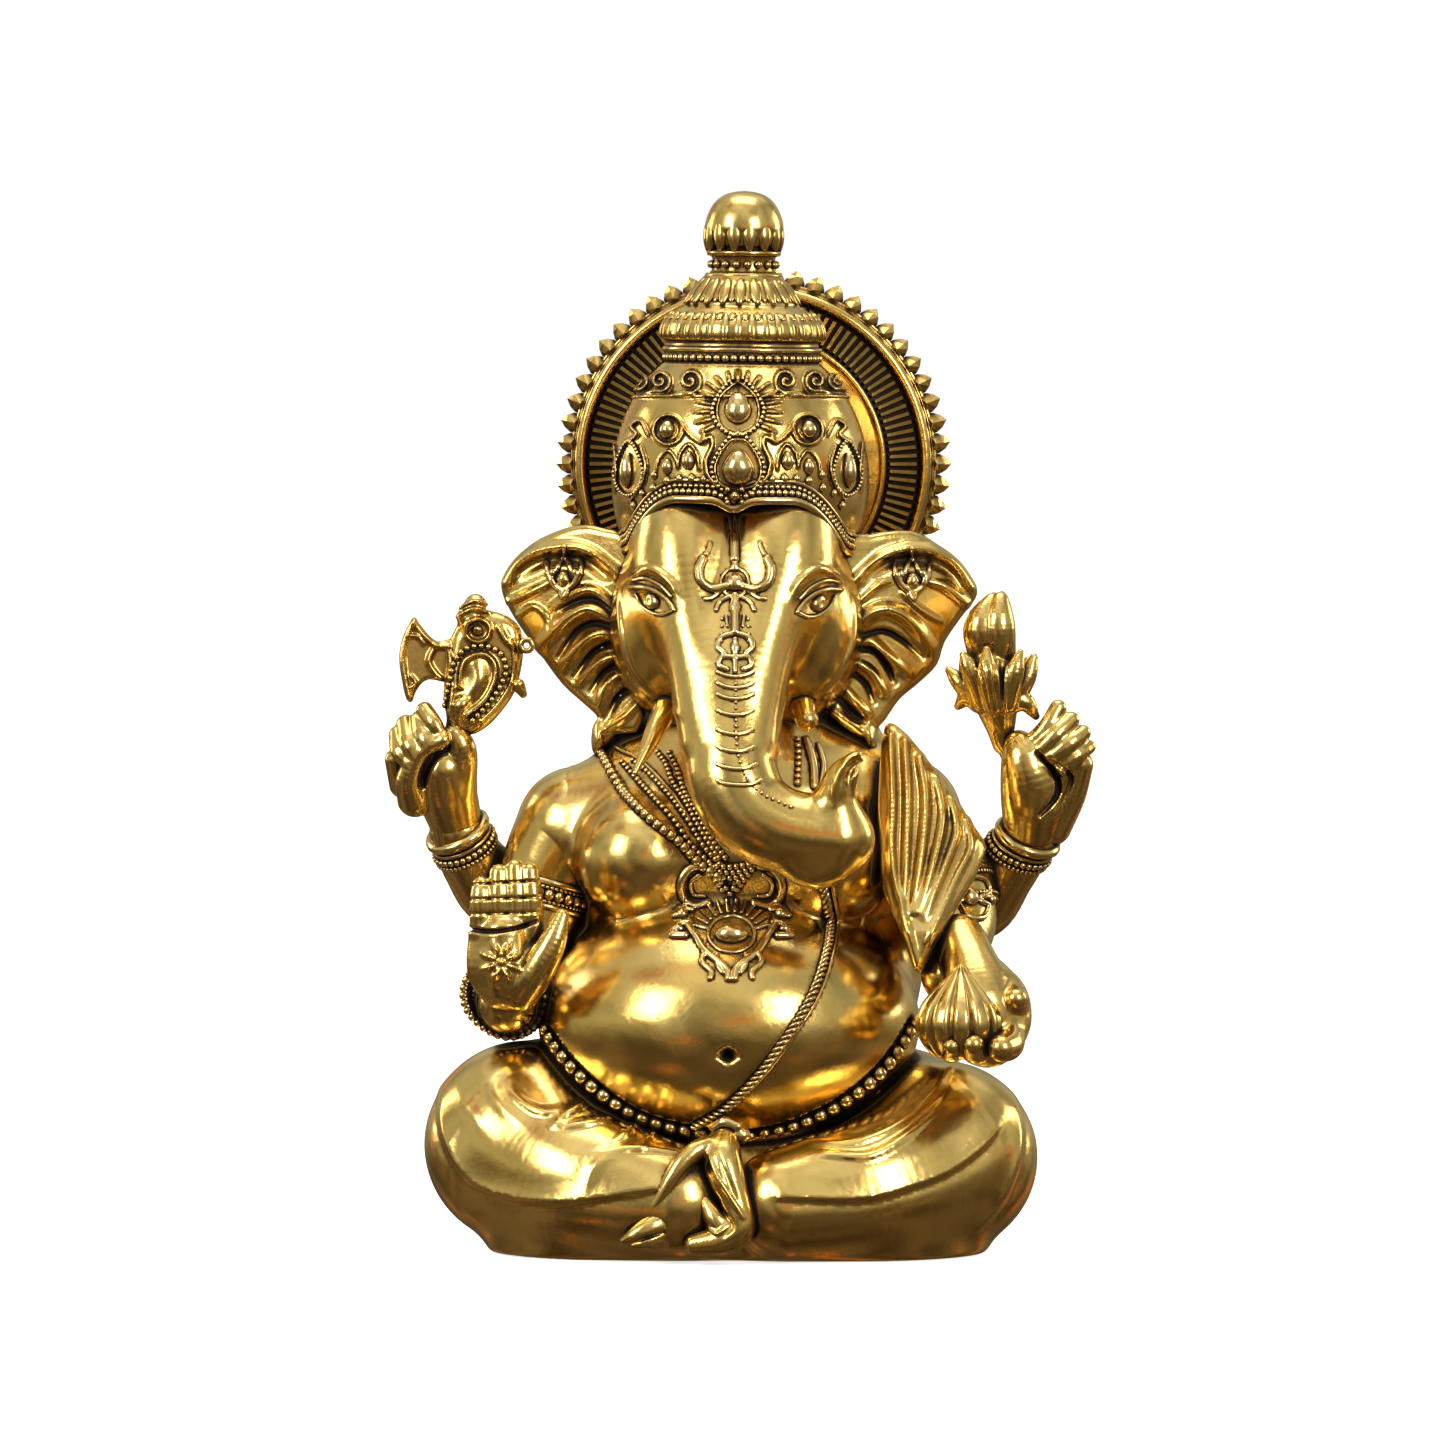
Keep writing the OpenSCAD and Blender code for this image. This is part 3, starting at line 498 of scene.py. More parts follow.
lap = cut(1.2, join(5, join(4, legs, sole), foot_slab), lambda p: p[:, 2])
lap = chased(lap, [
    ([(-60.6, 33, 0.2), (-59.6, 23, 0.9), (-55, 14.6, 1.2), (-48, 11.2, 1.2), (-38, 10, 1.1),
      (-28, 11.2, 1.0), (-17, 13, 0.7)], 5, "step"),
    ([(9, 11.5, 0.8), (24, 11.2, 1), (34, 13.6, 1), (42, 16.6, 1), (49, 21.6, 0.9),
      (53, 27, 0.2)], 4, "step"),
    ([(49, 5.6, 0.2), (53, 10.6, 0.9), (56, 18.6, 0.9), (56.4, 25.6, 0.6), (55, 31.6, 0.1)], 3, "step"),
    ([(-46, 32.6, 0.1), (-43, 30, 0.7), (-39, 28.4, 0.8), (-32, 29, 0.3)], 1.6),
    ([(-37, 26, 0.5), (-32, 29.6, 0.9), (-30, 30.5, 0.2)], 1.4),
    ([(-36, 25.6, 0.3), (-31.6, 26.2, 0.8), (-26, 27, 0.5)], 1.4),
    ([(-25, 22.6, 0.3), (-21.6, 25, 0.8), (-20, 26, 0.2)], 1.3),
    ([(-20, 21.4, 0.3), (-17.6, 23.6, 0.7), (-16.5, 24.4, 0.1)], 1.2),
    ([(-30, 20, 0.1), (-22, 21.6, 0.5), (-12, 20.6, 0.6), (-8, 19, 0.1)], 1.2),
    ([(-31, 12.6, 0.1), (-28, 18.6, 0.4), (-20, 22, 0.1)], 1.8),
    ([(14, 20.4, 0.1), (18, 20.4, 0.6), (26, 20.2, 0.7), (34, 24.6, 0.7), (41, 30.6, 0.2)], 1.4),
    ([(12, 23, 0.1), (22, 22.6, 0.6), (32, 26.6, 0.6), (39, 33, 0.5), (44, 40, 0.1)], 1.5),
    ([(-57, 33, 0.1), (-54, 28, 0.4), (-50, 24, 0.1)], 2.5),
    ([(-51, 35, 0.1), (-47, 29, 0.5), (-43, 26, 0.1)], 2.5),
], behind=6)

torso = join(
    4,
    join(9, limb([(-14, 6, 91, 12), (-33, 6, 83.6, 12.6)]), limb([(14, 6, 92, 12.5), (32, 7, 86, 12.5)]),
         blob((0, 4, 80), (31, 23, 18)), limb([(0, 7, 88, 18), (0, 8, 104, 16)]),
         blob((0, 13, 58), (36.5, 24, 38)),
         limb([(-20, 13, 100.5, 7), (20, 13, 101.5, 7)])),
    blob((-19, -9, 78.5), (13, 13, 12.5)), blob((17.5, -9, 78.5), (12.5, 13, 12.5)),
    blob((-2, -4, 45.5), (38.3, 35, 26)))


def on_front(solid, flat, start=-75.0):
    """The points of the solid's front at these places of the drawing, and the outward directions there."""
    flat = np.array(flat, np.float32)[:, :2]
    p = (flat @ drawing.T + inward * start).astype(np.float32)
    for _ in range(34):
        d = measure(solid, p)
        p += inward * np.clip(d * 0.85, -4, 8)[:, None]
    d = measure(solid, p)
    g = slopes(solid, p, d)
    return p, g / np.linalg.norm(g, axis=1)[:, None]


figure_front = join(1.5, lap, torso)


def laid_all(solid, lines, steps=6):
    """Smooth routes over the solid's front, from flat places and a lift off it in millimetres."""
    routes = [route(flat, steps)[:, :2] for flat, lift in lines]
    p, n = on_front(solid, np.vstack(routes))
    ends = np.cumsum([len(flat) for flat in routes])[:-1]
    return [q + m * lift for q, m, (flat, lift) in zip(np.split(p, ends), np.split(n, ends), lines)]


def laid(solid, flat, lift, steps=6):
    return laid_all(solid, [(flat, lift)], steps)[0]


girdle_lines = [laid(figure_front, line, -0.1) for line in (girdle_right, girdle_left)]
groove = join(0.5, *[limb(np.hstack([line, np.full((len(line), 1), 1.9)]), 1) for line in girdle_lines])
lap_piece = cast("lap", cut(0.5, lap, groove), (-66, -46, -1.5), (66, 46, 47), 0.62, antique)
ready(lap_piece, "lap_casting")

# ---- Torso casting ----
# Shoulders, breast and the great round belly, cast in one hollow piece and
# let into the lap. It carries the navel and the groove for the girdle.

torso = chased(torso, [
    ([(-5.2, 39.8, 0), (-2.4, 39.8, -2.2), (0.4, 39.8, 0)], 1.5),
    ([(-2.4, 42, 0), (-2.4, 39.8, -2), (-2.4, 37.6, 0)], 1.4),
    ([(-44, 78, 0.2), (-36, 72, 0.8), (-33, 62, 0.5)], 2.2),
], behind=4)
torso_piece = cast("torso", cut(0.5, torso, groove), (-50, -42, 14), (50, 40, 124), 0.66, antique)
ready(torso_piece, "torso_casting")

# ---- Head and trunk ----
# The elephant's head, solid cast: two round domes on the brow, the eyes in
# shallow hollows, and the trunk that runs down and turns to the figure's left.

lean = (Matrix.Translation((-0.6, 0, 137)) @ Matrix.Rotation(math.radians(0.85), 4, "Y")
        @ Matrix.Translation((0, 0, -137)))
lean_turn = np.array(lean, np.float32)


def leaning(p):
    return p @ lean_turn[:3, :3].T + lean_turn[:3, 3]


def unleaned(solid):
    return lambda p: solid((p - lean_turn[:3, 3]) @ lean_turn[:3, :3])


skull = join(
    6.5,
    blob((0, 7, 128), (24.6, 22, 25)), blob((-9.8, -3, 138), (10.4, 12.4, 15)),
    blob((8.8, -3, 138), (10.4, 12.4, 15)),
    blob((-13.6, 0, 122), (10.6, 12.4, 15)), blob((13.6, 0, 122), (10.6, 12.4, 15)),
    limb([(0, 6, 112, 13), (0, 8, 100, 14)]))
brow_ridges = join(
    1.6, limb([(-10.2, -5.6, 144, 9), (-10, -10, 136, 9), (-8.6, -14.6, 127.6, 8), (-6.6, -19, 119, 7.4),
               (-5.2, -23.4, 110, 6.8), (-4.2, -26.4, 103, 6.4)], 6),
    limb([(9.4, -5.6, 144, 9), (8.6, -10, 136, 9), (6.4, -14.6, 127.6, 8), (4.4, -19, 119, 7.4),
          (3.2, -23.4, 110, 6.8), (2.8, -26.4, 103, 6.4)], 6))
trunk_form = join(
    3,
    limb([(0.2, -8, 134, 9), (-0.4, -12, 127, 10), (-1, -16, 120, 10.3), (-1.2, -19.5, 113.5, 10.2),
          (-0.8, -23, 106.5, 9.4),
          (-0.6, -26, 101, 9.1), (0.2, -28.5, 95.5, 9.1), (3, -30, 90, 8.9), (8, -31, 86.4, 8.6),
          (14, -31, 84.8, 8.3),
          (20.6, -31, 84, 7.7)]),
    limb([(14, -33, 78.6, 3.6), (17.4, -33.4, 77.8, 3.6), (20, -33.5, 78.6, 3.2)], 8),
    limb([(20.6, -32, 88, 4.2), (20.8, -33.4, 93, 3.9), (22.4, -34, 97, 3), (24.6, -34, 99.6, 1.6)], 8))
head = join(6, unleaned(skull), join(1.6, trunk_form, brow_ridges))
head = chased(head, [
    ([(-1, 150, -1.0), (-1.1, 146, -0.8), (-1.2, 140, -0.2)], 2.2),
    ([(-25, 134, 0.1), (-24.5, 127, 0.5), (-23, 118, 0.5), (-19.5, 112.5, 0.5), (-15.5, 109, 0.5),
      (-11.5, 106.8, 0.1)], 1.1),
    ([(23.5, 131, 0.1), (23.2, 123, 0.5), (21.4, 117.6, 0.5), (19.2, 113.4, 0.5), (15.4, 110, 0.5),
      (12, 107, 0.1)], 1.1),
    ([(-22.8, 133.6, 0.1), (-18.4, 136.2, 0.8), (-14, 133.4, 0.7), (-12.4, 130.2, 0.1)], 1.3),
    ([(20.8, 133.6, 0.1), (16.2, 136.2, 0.8), (11.8, 133.4, 0.7), (10.2, 130.2, 0.1)], 1.3),
    ([(-20.6, 130.4, -0.3), (-17.3, 129.9, -0.7), (-14, 129, -0.3)], 3.0),
    ([(18.6, 130.2, -0.3), (15.5, 129.5, -0.7), (12.2, 128.8, -0.3)], 3.0),
    ([(18.6, 89, 0.2), (18.8, 94, 0.8), (21.4, 98.6, 0.9), (25, 100, 0.4)], 0.9),
    ([(24.6, 89.6, 0.2), (24.4, 94, 0.7), (25.4, 98, 0.5)], 0.7),
    ([(21.4, 91, -0.3), (21.4, 95, -1.3), (23, 97.4, -1.1), (24, 96, -0.4)], 1.3),
], behind=12)
head_piece = cast("head_and_trunk", head, (-30, -44, 66), (32, 32, 156), 0.5, antique)
ready(head_piece, "head_casting", "trunk")

# ---- Tusks ----
# The right tusk is whole and tapers to a point; the left one is broken off
# short. Both are set into sockets beside the trunk's root.


def drawn(rows):
    """Rows of across, up, depth and further numbers, as rows of x, y, z and those numbers."""
    rows = np.array(rows, np.float64)
    u, v, y = rows[:, 0], rows[:, 1], rows[:, 2]
    x = (u - y * math.sin(view_turn)) / math.cos(view_turn)
    z = (v + (x * math.sin(view_turn)
              - y * math.cos(view_turn)) * math.sin(view_rise)) / math.cos(view_rise)
    return np.hstack([np.stack([x, y, z], 1), rows[:, 3:]])


tusk = limb(drawn([(-13.4, 111, -4, 3), (-15.2, 107.6, -9, 2.5), (-17.8, 102, -14.5, 1.8),
                   (-21, 95.4, -19, 0.45)]), 8)
ready(cast("right_tusk", tusk, (-26, -24, 90), (-6, 2, 118), 0.3, antique), "right_tusk")
stub = cut(0.5, limb(drawn([(12, 111, -5, 3), (13.4, 106, -11.4, 2.3)]), 8),
           blob((15, -17.4, 101.6), (4, 4, 4)))
ready(cast("left_tusk", stub, (6, -20, 98), (20, 2, 118), 0.3, antique), "left_tusk_stub")

# ---- Ears ----
# Wide ears spread back from the cheeks, thin castings with a rolled upper rim,
# folds that fan out from the cheek, and a lobe that hangs to the shoulder.


def outlined(flat, points, steps=3):
    """Signed distance to a closed outline of the drawing, below 0 inside."""
    line = route(points + [points[0]], steps) if steps > 1 else np.array(points + [points[0]], np.float32)
    line = np.hstack([line[:, :2], np.zeros((len(line), 1), np.float32)])
    away = nearest(flat, line)[0]
    inside = np.zeros(len(flat), bool)
    for a, b in zip(line[:-1], line[1:]):
        spans = (a[1] > flat[:, 1]) != (b[1] > flat[:, 1])
        rise = b[1] - a[1]
        inside ^= spans & (flat[:, 0] < (b[0] - a[0]) * (flat[:, 1] - a[1]) / (rise if rise else 1e-6)
                           + a[0])
    return np.where(inside, -away, away)


def plate(points, depth, half, rounding=1.0, steps=3):
    """A flat casting with an outline from the drawing; depth gives its middle from flat places."""
    low, high = np.min(points, 0), np.max(points, 0)

    def distance(p):
        flat = p @ drawing
        d = np.sqrt((np.maximum(np.maximum(low - flat, flat - high), 0) ** 2).sum(1)) + 6
        near = np.flatnonzero(((flat > low - 6) & (flat < high + 6)).all(1))
        if len(near):
            edge = outlined(flat[near], points, steps) + rounding
            thick = np.abs(p[near] @ inward - depth(flat[near])) - half + rounding
            outside = np.sqrt(np.maximum(edge, 0) ** 2 + np.maximum(thick, 0) ** 2)
            d[near] = outside + np.minimum(np.maximum(edge, thick), 0) - rounding
        return d
    return distance


right_ear_line = [(-19, 140), (-23, 143.6), (-26.8, 144.6), (-30.8, 145.4), (-35.8, 144.6), (-42.2, 141.6),
                  (-46.6, 136.8), (-48.2, 134),
                  (-48, 131.4), (-46.4, 128), (-43.4, 123.4), (-40, 118.8), (-35.8, 113.2), (-31.4, 109.2),
                  (-28.6, 106.4),
                  (-29.6, 104.2), (-30, 101.6), (-29.2, 99), (-27.4, 99.6), (-25, 103), (-19, 107)]
left_ear_line = [(18, 107), (22, 103.6), (25, 101.6), (26.2, 99), (27.4, 101), (27.8, 104.2), (29.4, 106.2),
                 (32.2, 110.2),
                 (36, 113.4), (39.8, 117.2), (41.4, 121.8), (44.8, 126.8), (47.8, 130.8), (47.6, 133.4),
                 (44.6, 137.4),
                 (39.8, 141.6), (34.2, 144.2), (26, 143.4), (18, 140)]
right_folds = [
    ([(-47, 134, 1.0), (-45.2, 137.3, 1.6), (-41.7, 139.9, 1.8), (-37.2, 140.9, 1.8), (-33.1, 140.9, 1.8),
      (-29.6, 139.5, 1.6), (-24.4, 135.4, 1)], 1.7),
    ([(-44, 136, -0.5), (-40, 138, -1.2), (-36, 138.6, -1.6), (-31, 138, -1.4), (-27, 135.2, -0.8)], 2.0),
    ([(-46.6, 130, 0.8), (-43, 131.6, 1.1), (-40.6, 132.7, 0.9), (-38, 134, 0.3)], 1.2),
    ([(-45, 127, 0.3), (-42, 129, 0.8), (-39.5, 127.5, 0.8), (-38.4, 124.6, 0.3)], 0.9),
    ([(-37.5, 129, 0.4), (-32.7, 131.8, 1.4), (-29.3, 132, 1.4), (-26.2, 129.4, 1), (-24.4, 128, 0.4)],
     1.6),
    ([(-36, 128.4, -0.4), (-32, 130, -1), (-28.4, 129.8, -1), (-25, 127, -0.5)], 0.8),
    ([(-40.4, 120.6, 0.5), (-36, 125.6, 2.0), (-31.3, 128.4, 2.4), (-27.9, 127.4, 2.2), (-24.6, 125.2, 1)],
     2.4),
    ([(-36.6, 118.6, -0.5), (-32.7, 124.1, -1.5), (-28.6, 125.6, -1.6), (-24.6, 124.2, -0.8)], 0.9),
    ([(-35.6, 116.6, 0.5), (-32, 121.3, 1.8), (-28.6, 123.4, 2.0), (-24.4, 122.8, 0.9)], 1.9),
    ([(-33.4, 114.6, -0.5), (-29.6, 119.6, -1.7), (-25.8, 121.2, -1.8), (-23.4, 120.4, -0.9)], 1.0),
    ([(-32, 113.6, 0.4), (-27.9, 117.9, 1.6), (-23.6, 119, 0.8)], 1.5),
    ([(-30, 111.8, -0.4), (-27.2, 115.8, -1.5), (-23, 117.6, -0.8)], 0.8),
    ([(-28.4, 108.6, 0.3), (-26.5, 113.4, 1.6), (-22, 116.5, 0.8)], 1.5),
    ([(-27, 106, -0.5), (-24.4, 110.6, -1.9), (-21, 113, -1)], 1.3),
    ([(-27.4, 104, 0.8), (-23.4, 106.5, 1.5), (-19.6, 110.6, 0.7)], 1.2),
    ([(-28.8, 105.2, 0.6), (-28.4, 102.4, 1.6), (-28.6, 100.4, 0.8)], 1.6),
]
left_folds = [
    ([(22.4, 133.4, 0.8), (28.1, 138.6, 1.6), (32.5, 140.3, 1.8), (34.9, 140.7, 1.8), (39.4, 140, 1.8),
      (43.6, 137.4, 1.7), (46.6, 133, 1)], 1.7),
    ([(26, 135.4, -0.6), (31, 138, -1.5), (35, 138.4, -1.6), (40, 137.4, -1.2), (44, 134.6, -0.5)], 2.0),
    ([(37, 134.2, 0.4), (41.5, 132.9, 1.5), (45.6, 129.6, 1)], 1.6),
    ([(24.2, 130, 0.4), (27.6, 133, 0.9), (30.4, 134.2, 0.4)], 1.0),
    ([(33, 131.6, 0.3), (36, 128.6, 0.8), (40.4, 126, 0.4)], 1.0),
    ([(23.8, 125.4, 0.9), (27, 127.8, 1.9), (30.5, 128.2, 2.3), (34.6, 125.8, 2.2), (38.4, 120.6, 0.6)],
     2.3),
    ([(23.8, 122.6, -0.8), (28.7, 123.9, -1.6), (32.5, 122.2, -1.5), (36.6, 118.6, -0.4)], 0.9),
    ([(24.4, 121.6, 0.6), (26.8, 121.6, 1.4), (29.8, 118.8, 1.9), (33.4, 115.6, 0.5)], 1.8),
    ([(22.8, 120.2, -0.9), (27, 120, -1.5), (29.6, 116.8, -1.8), (31, 113.4, -0.6)], 0.9),
    ([(22.6, 118, 0.7), (26.3, 115.8, 1.7), (29, 111.4, 0.6)], 1.5),
    ([(22, 116, -0.8), (25.2, 113.4, -1.6), (26.8, 109.6, -0.6)], 0.9),
    ([(20.6, 113.2, 0.6), (23.6, 109.4, 1.6), (26, 107, 0.6)], 1.4),
    ([(19, 111.4, -0.8), (22.6, 107.4, -1.8), (25, 105.6, -0.7)], 1.1),
    ([(18, 108.4, 0.7), (22.2, 105.4, 1.4), (25, 103.4, 0.5)], 1.2),
    ([(25.4, 105.2, 0.5), (26.2, 102.6, 1.5), (26.3, 100.4, 0.8)], 1.6),
]
right_ear_form = chased(plate(right_ear_line, lambda f: -1.5 + np.maximum(-20 - f[:, 0], 0) * 0.44, 2.0,
                              1.6), right_folds)
left_ear_form = chased(plate(left_ear_line, lambda f: -4.5 + np.maximum(f[:, 0] - 20, 0) * 0.44, 2.0, 1.6),
                       left_folds)
ready(cast("right_ear", right_ear_form, (-53, -6, 94), (-15, 24, 152), 0.4, antique), "right_ear")
ready(cast("left_ear", left_ear_form, (14, -6, 94), (53, 24, 152), 0.4, antique), "left_ear")

# ---- Front cloth and foot ----
# The loose end of the waist cloth falls from the knot in two folds and turns
# under at the bottom; the end of the right foot rests beside it.

cloth = join(
    0.8,
    limb(drawn([(-3.2, 23.2, -35, 1.3), (-7.6, 21.6, -38.4, 1.9), (-11, 19, -40, 2.0),
                (-13.4, 15.6, -40.8, 1.8), (-15.6, 12, -41, 1.4),
                (-18, 8.4, -40.8, 0.9)]), 8),
    limb(drawn([(-3, 22.6, -35.6, 2.8), (-3.4, 19, -38, 3.8), (-2.6, 15.6, -39.6, 3.6),
                (-1.4, 12.4, -40.6, 3.0), (-0.4, 8.6, -41, 3.0), (-0.4, 5.4, -41, 3.2),
                (-3.4, 3.4, -41, 3.1), (-9, 2.4, -41, 2.1)]), 8),
    limb(drawn([(-7, 11, -39.6, 1.3), (-5, 7.6, -41, 2.1), (-3.2, 5.2, -41.4, 2)]), 8))
cloth = chased(cloth, [
    ([(-6.4, 20.6, 0.2), (-4.6, 16, 0.6), (-2, 12, 0.6), (0.6, 8, 0.2)], 0.8),
    ([(-4.2, 20.6, -0.1), (-2.6, 16, -0.5), (-1, 12, -0.2)], 0.8),
    ([(-3.6, 9.4, -0.2), (-1.6, 6.4, -0.6), (-3.4, 4.2, -0.2)], 0.8),
    ([(-6.4, 5.8, 0.2), (-4.4, 4.8, 0.5), (-3, 6.4, 0.2)], 0.7),
])
ready(cast("front_cloth", cut(0.3, cloth, lambda p: p[:, 2] - 0.3), (-22, -45.5, -1), (8, -30, 30), 0.3,
           antique), "front_cloth")
toes = chased(join(0.8,
                   limb(drawn([(-13.6, 7.2, -37, 3.0), (-17, 6.0, -40.2, 2.7), (-20.4, 4.4, -41.6, 1.8),
                               (-23, 3.2, -41.6, 0.8)]), 8),
                   limb(drawn([(-14, 4, -38, 2), (-18, 3, -41, 1.6), (-21, 2.6, -41.6, 1)]), 8)),
              [([(-14, 5.2, -0.2), (-17.6, 4.2, -0.7), (-21.4, 2.8, -0.3)], 0.7)])
ready(cast("foot", cut(0.3, toes, lambda p: p[:, 2] - 0.3), (-27, -45.5, -1), (-7, -30, 16), 0.3, antique),
      "foot")

# ---- Shawl ----
# A folded shawl hangs over the left shoulder and narrows to a point beside
# the belly; its pleats were raised in the wax.

shawl_line = [(28.4, 101.6), (29.6, 105.4), (33, 103.6), (38, 97.6), (43, 90.6), (47, 84.6), (49.2, 80.6),
              (47, 74.6), (42, 66.6),
              (38.4, 60.6), (35.6, 55.6), (33.2, 60.6), (30.6, 66.6), (28.4, 72.6), (27.6, 80.6),
              (27.6, 90.6)]
shawl_form = chased(plate(shawl_line, lambda f: -13 + 0.013 * (f[:, 0] - 36) ** 2
                          - np.clip((96 - f[:, 1]) * 0.42, -5, 13.5) + np.clip(f[:, 0] - 38, 0, 20) * 0.35,
                          3.6, 2.4), [
    ([(30, 103, 1.2), (30.4, 90, 1.6), (30.4, 76, 1.2), (35, 57, 0.5)], 1.3),
    ([(33, 102, 1.2), (33.4, 90, 1.8), (33, 78, 1.4), (32.6, 68, 0.6), (35, 58, 0.3)], 1.4),
    ([(36, 98.5, 1.2), (37, 90, 1.8), (36, 79, 1.6), (34, 68, 0.8)], 1.5),
    ([(39.4, 94.6, 1.2), (40.4, 87, 1.8), (38.6, 78, 1.6), (35.4, 68, 0.7)], 1.5),
    ([(42.4, 90.6, 1.1), (43.2, 84, 1.7), (40.8, 77, 1.4), (36.6, 67, 0.5)], 1.4),
    ([(45.4, 86, 0.9), (46, 80.6, 1.5), (42.6, 73.6, 1.1), (37.4, 62, 0.4)], 1.3),
])
ready(cast("shawl", shawl_form, (22, -33, 50), (55, 20, 112), 0.42, antique), "shawl")

# ---- Arms ----
# Four arms cast with the shoulders: the front pair bends forwards, the rear
# pair rises behind them. Seams are filed flush.

front_right = limb([(-33, 6, 84, 12.4), (-37.5, 5, 77, 10.6), (-41, 4, 68, 9.4), (-44, 2, 58, 9.2),
                    (-45.5, -6, 51, 8.2), (-45.5, -16, 50, 6.0)], 8)
front_left = limb([(32, 7, 86, 12), (40.4, 6, 76, 9.5), (43.6, 2, 66, 8), (42.8, -8, 60, 6.6),
                   (42.8, -17, 56, 5.8)], 8)
rear_right = limb([(-28, 17, 86, 10), (-40, 18, 75, 9), (-49, 16, 70.5, 8), (-54, 11, 76, 6.8),
                   (-57.4, 7, 83, 5.8)], 8)
rear_left = limb([(28, 17, 86, 10), (38, 18, 74, 9), (46.6, 16, 68.4, 7.8), (52.4, 11, 75, 6.8),
                  (57.6, 7, 82, 5.8)], 8)
ready(cast("front_right_arm", front_right, (-58, -24, 38), (-18, 22, 104), 0.5, antique), "front_right_arm")
ready(cast("front_left_arm", front_left, (18, -24, 46), (57, 22, 104), 0.5, antique), "front_left_arm")
ready(cast("rear_right_arm", rear_right, (-66, 0, 60), (-15, 30, 100), 0.5, antique), "rear_right_arm")
ready(cast("rear_left_arm", rear_left, (15, 0, 56), (66, 30, 100), 0.5, antique), "rear_left_arm")

# ---- Front right hand, raised open ----
# Four fingers side by side with their joints marked, the thumb beside them,
# and a lotus rosette in low relief on the palm.

fingers = [limb(drawn([(u, 64, -25, 2.3), (u, 70, -25.6, 2.25), (tu, top - 1.9, -25, 1.85)]), 4)
           for u, tu, top in ((-51.5, -51.5, 75), (-48, -48, 77.4), (-44.6, -44.8, 78.4),
                              (-41.4, -41.8, 77.6))]
palm = join(2.2, limb(drawn([(-47, 63, -24.5, 5.4), (-46.5, 55, -24.5, 5.6), (-46, 51.5, -23, 3.4)]), 6),
            limb(drawn([(-51.4, 64, -24, 2.6), (-51.4, 56, -24, 2.9), (-49, 51, -23, 2)]), 6),
            limb(drawn([(-41.6, 64, -24, 2.4), (-41.6, 56, -24, 3)]), 4))
thumb = limb(drawn([(-43.4, 51.6, -26, 3.6), (-40.6, 56, -28, 3.5), (-37.4, 61.6, -28.5, 2.8),
                    (-35.3, 67, -28, 1.5)]), 6)
hand = join(0.9, join(0.8, palm, *fingers), thumb)
palm_u, palm_v = -47.4, 58
petals = [([(palm_u + reach * math.cos(a), palm_v + reach * math.sin(a), tall)
            for reach, tall in ((1.5, 0.5), (2.7, 1.1), (4, 0.3))],
           0.95) for a in np.linspace(math.pi / 8, 2.125 * math.pi, 8, False)]
petals.append(([(palm_u - 0.1, palm_v, 1.1), (palm_u + 0.1, palm_v, 1.1)], 1.0))
hand = chased(hand, [
    ([(-54, 64.4, -0.8), (-49, 64, -1.1), (-44, 64.8, -1.1), (-40.6, 66, -0.7)], 0.7),
    ([(-54, 70.3, -0.3), (-40, 70.8, -0.5)], 0.4), ([(-53.6, 73.3, -0.3), (-40, 74.1, -0.5)], 0.4),
    ([(-54, 67.4, -0.3), (-40, 67.8, -0.4)], 0.4),
] + petals)
ready(cast("open_hand", hand, (-58, -34, 46), (-31, -16, 83), 0.3, antique), "front_right_hand")

# ---- Front left hand and the sweet ----
# The cupped hand holds a modak, a pleated dumpling that comes to a point. The
# sweet is turned and its pleats are filed in.

bowl_hand = join(
    1.0, limb(drawn([(43.6, 62, -17, 5.4), (46, 56, -23, 6), (47.6, 49, -26, 8.2), (49, 44, -27, 7)]), 8),
    limb(drawn([(50, 54, -22, 4.4), (53, 51, -25, 4.2), (53.6, 46.6, -27, 4.2), (52.4, 43, -28, 4)]), 6),
    limb(drawn([(52, 51, -25, 3.6), (54.4, 50.6, -29, 2.9), (54.6, 50.8, -31.4, 2.2)]), 6),
    limb(drawn([(52.6, 45, -28, 3.8), (53, 42, -33, 3.2), (51.6, 41.2, -37, 2.7)]), 6),
    limb(drawn([(47, 41, -30, 2.8), (46.4, 40.4, -34, 2.5), (46, 41.9, -37.6, 2.15)]), 6),
    limb(drawn([(42.4, 41, -30, 2.6), (41.8, 40.4, -34, 2.2), (41.7, 41.6, -37.4, 1.7)]), 6))
ready(cast("bowl_hand", bowl_hand, (34, -43, 33), (62, -10, 70), 0.34, antique), "front_left_hand")


def sealed(piece):
    """Draws points that share a place into one, so that poles and ends are closed."""
    solid = bmesh.new()
    solid.from_mesh(piece.data)
    bmesh.ops.remove_doubles(solid, verts=solid.verts, dist=1e-7)
    solid.to_mesh(piece.data)
    solid.free()
    return piece


def turned(name, profile, centre, material, around=96, flute=None, matrix=None):
    """A lathe form from radius and height pairs; flute changes the radius by angle and height."""
    rows = np.array(profile, np.float64)
    a = np.arange(around) * 2 * math.pi / around
    r, h = np.repeat(rows[:, :1], around, 1), np.repeat(rows[:, 1:2], around, 1)
    if flute:
        r = r + flute(np.repeat(a[None], len(rows), 0), h) * np.minimum(1, r)
    points = np.stack([r * np.cos(a), r * np.sin(a), h], -1).reshape(-1, 3)
    i, j = np.meshgrid(np.arange(len(rows) - 1), np.arange(around), indexing="ij")
    k = (j + 1) % around
    faces = np.stack([i * around + j, i * around + k, (i + 1) * around + k, (i + 1) * around + j],
                     -1).reshape(-1, 4)
    points = points if matrix is None else points @ np.array(matrix.to_3x3()).T
    return sealed(new_piece(name, points + np.array(centre), faces, material))


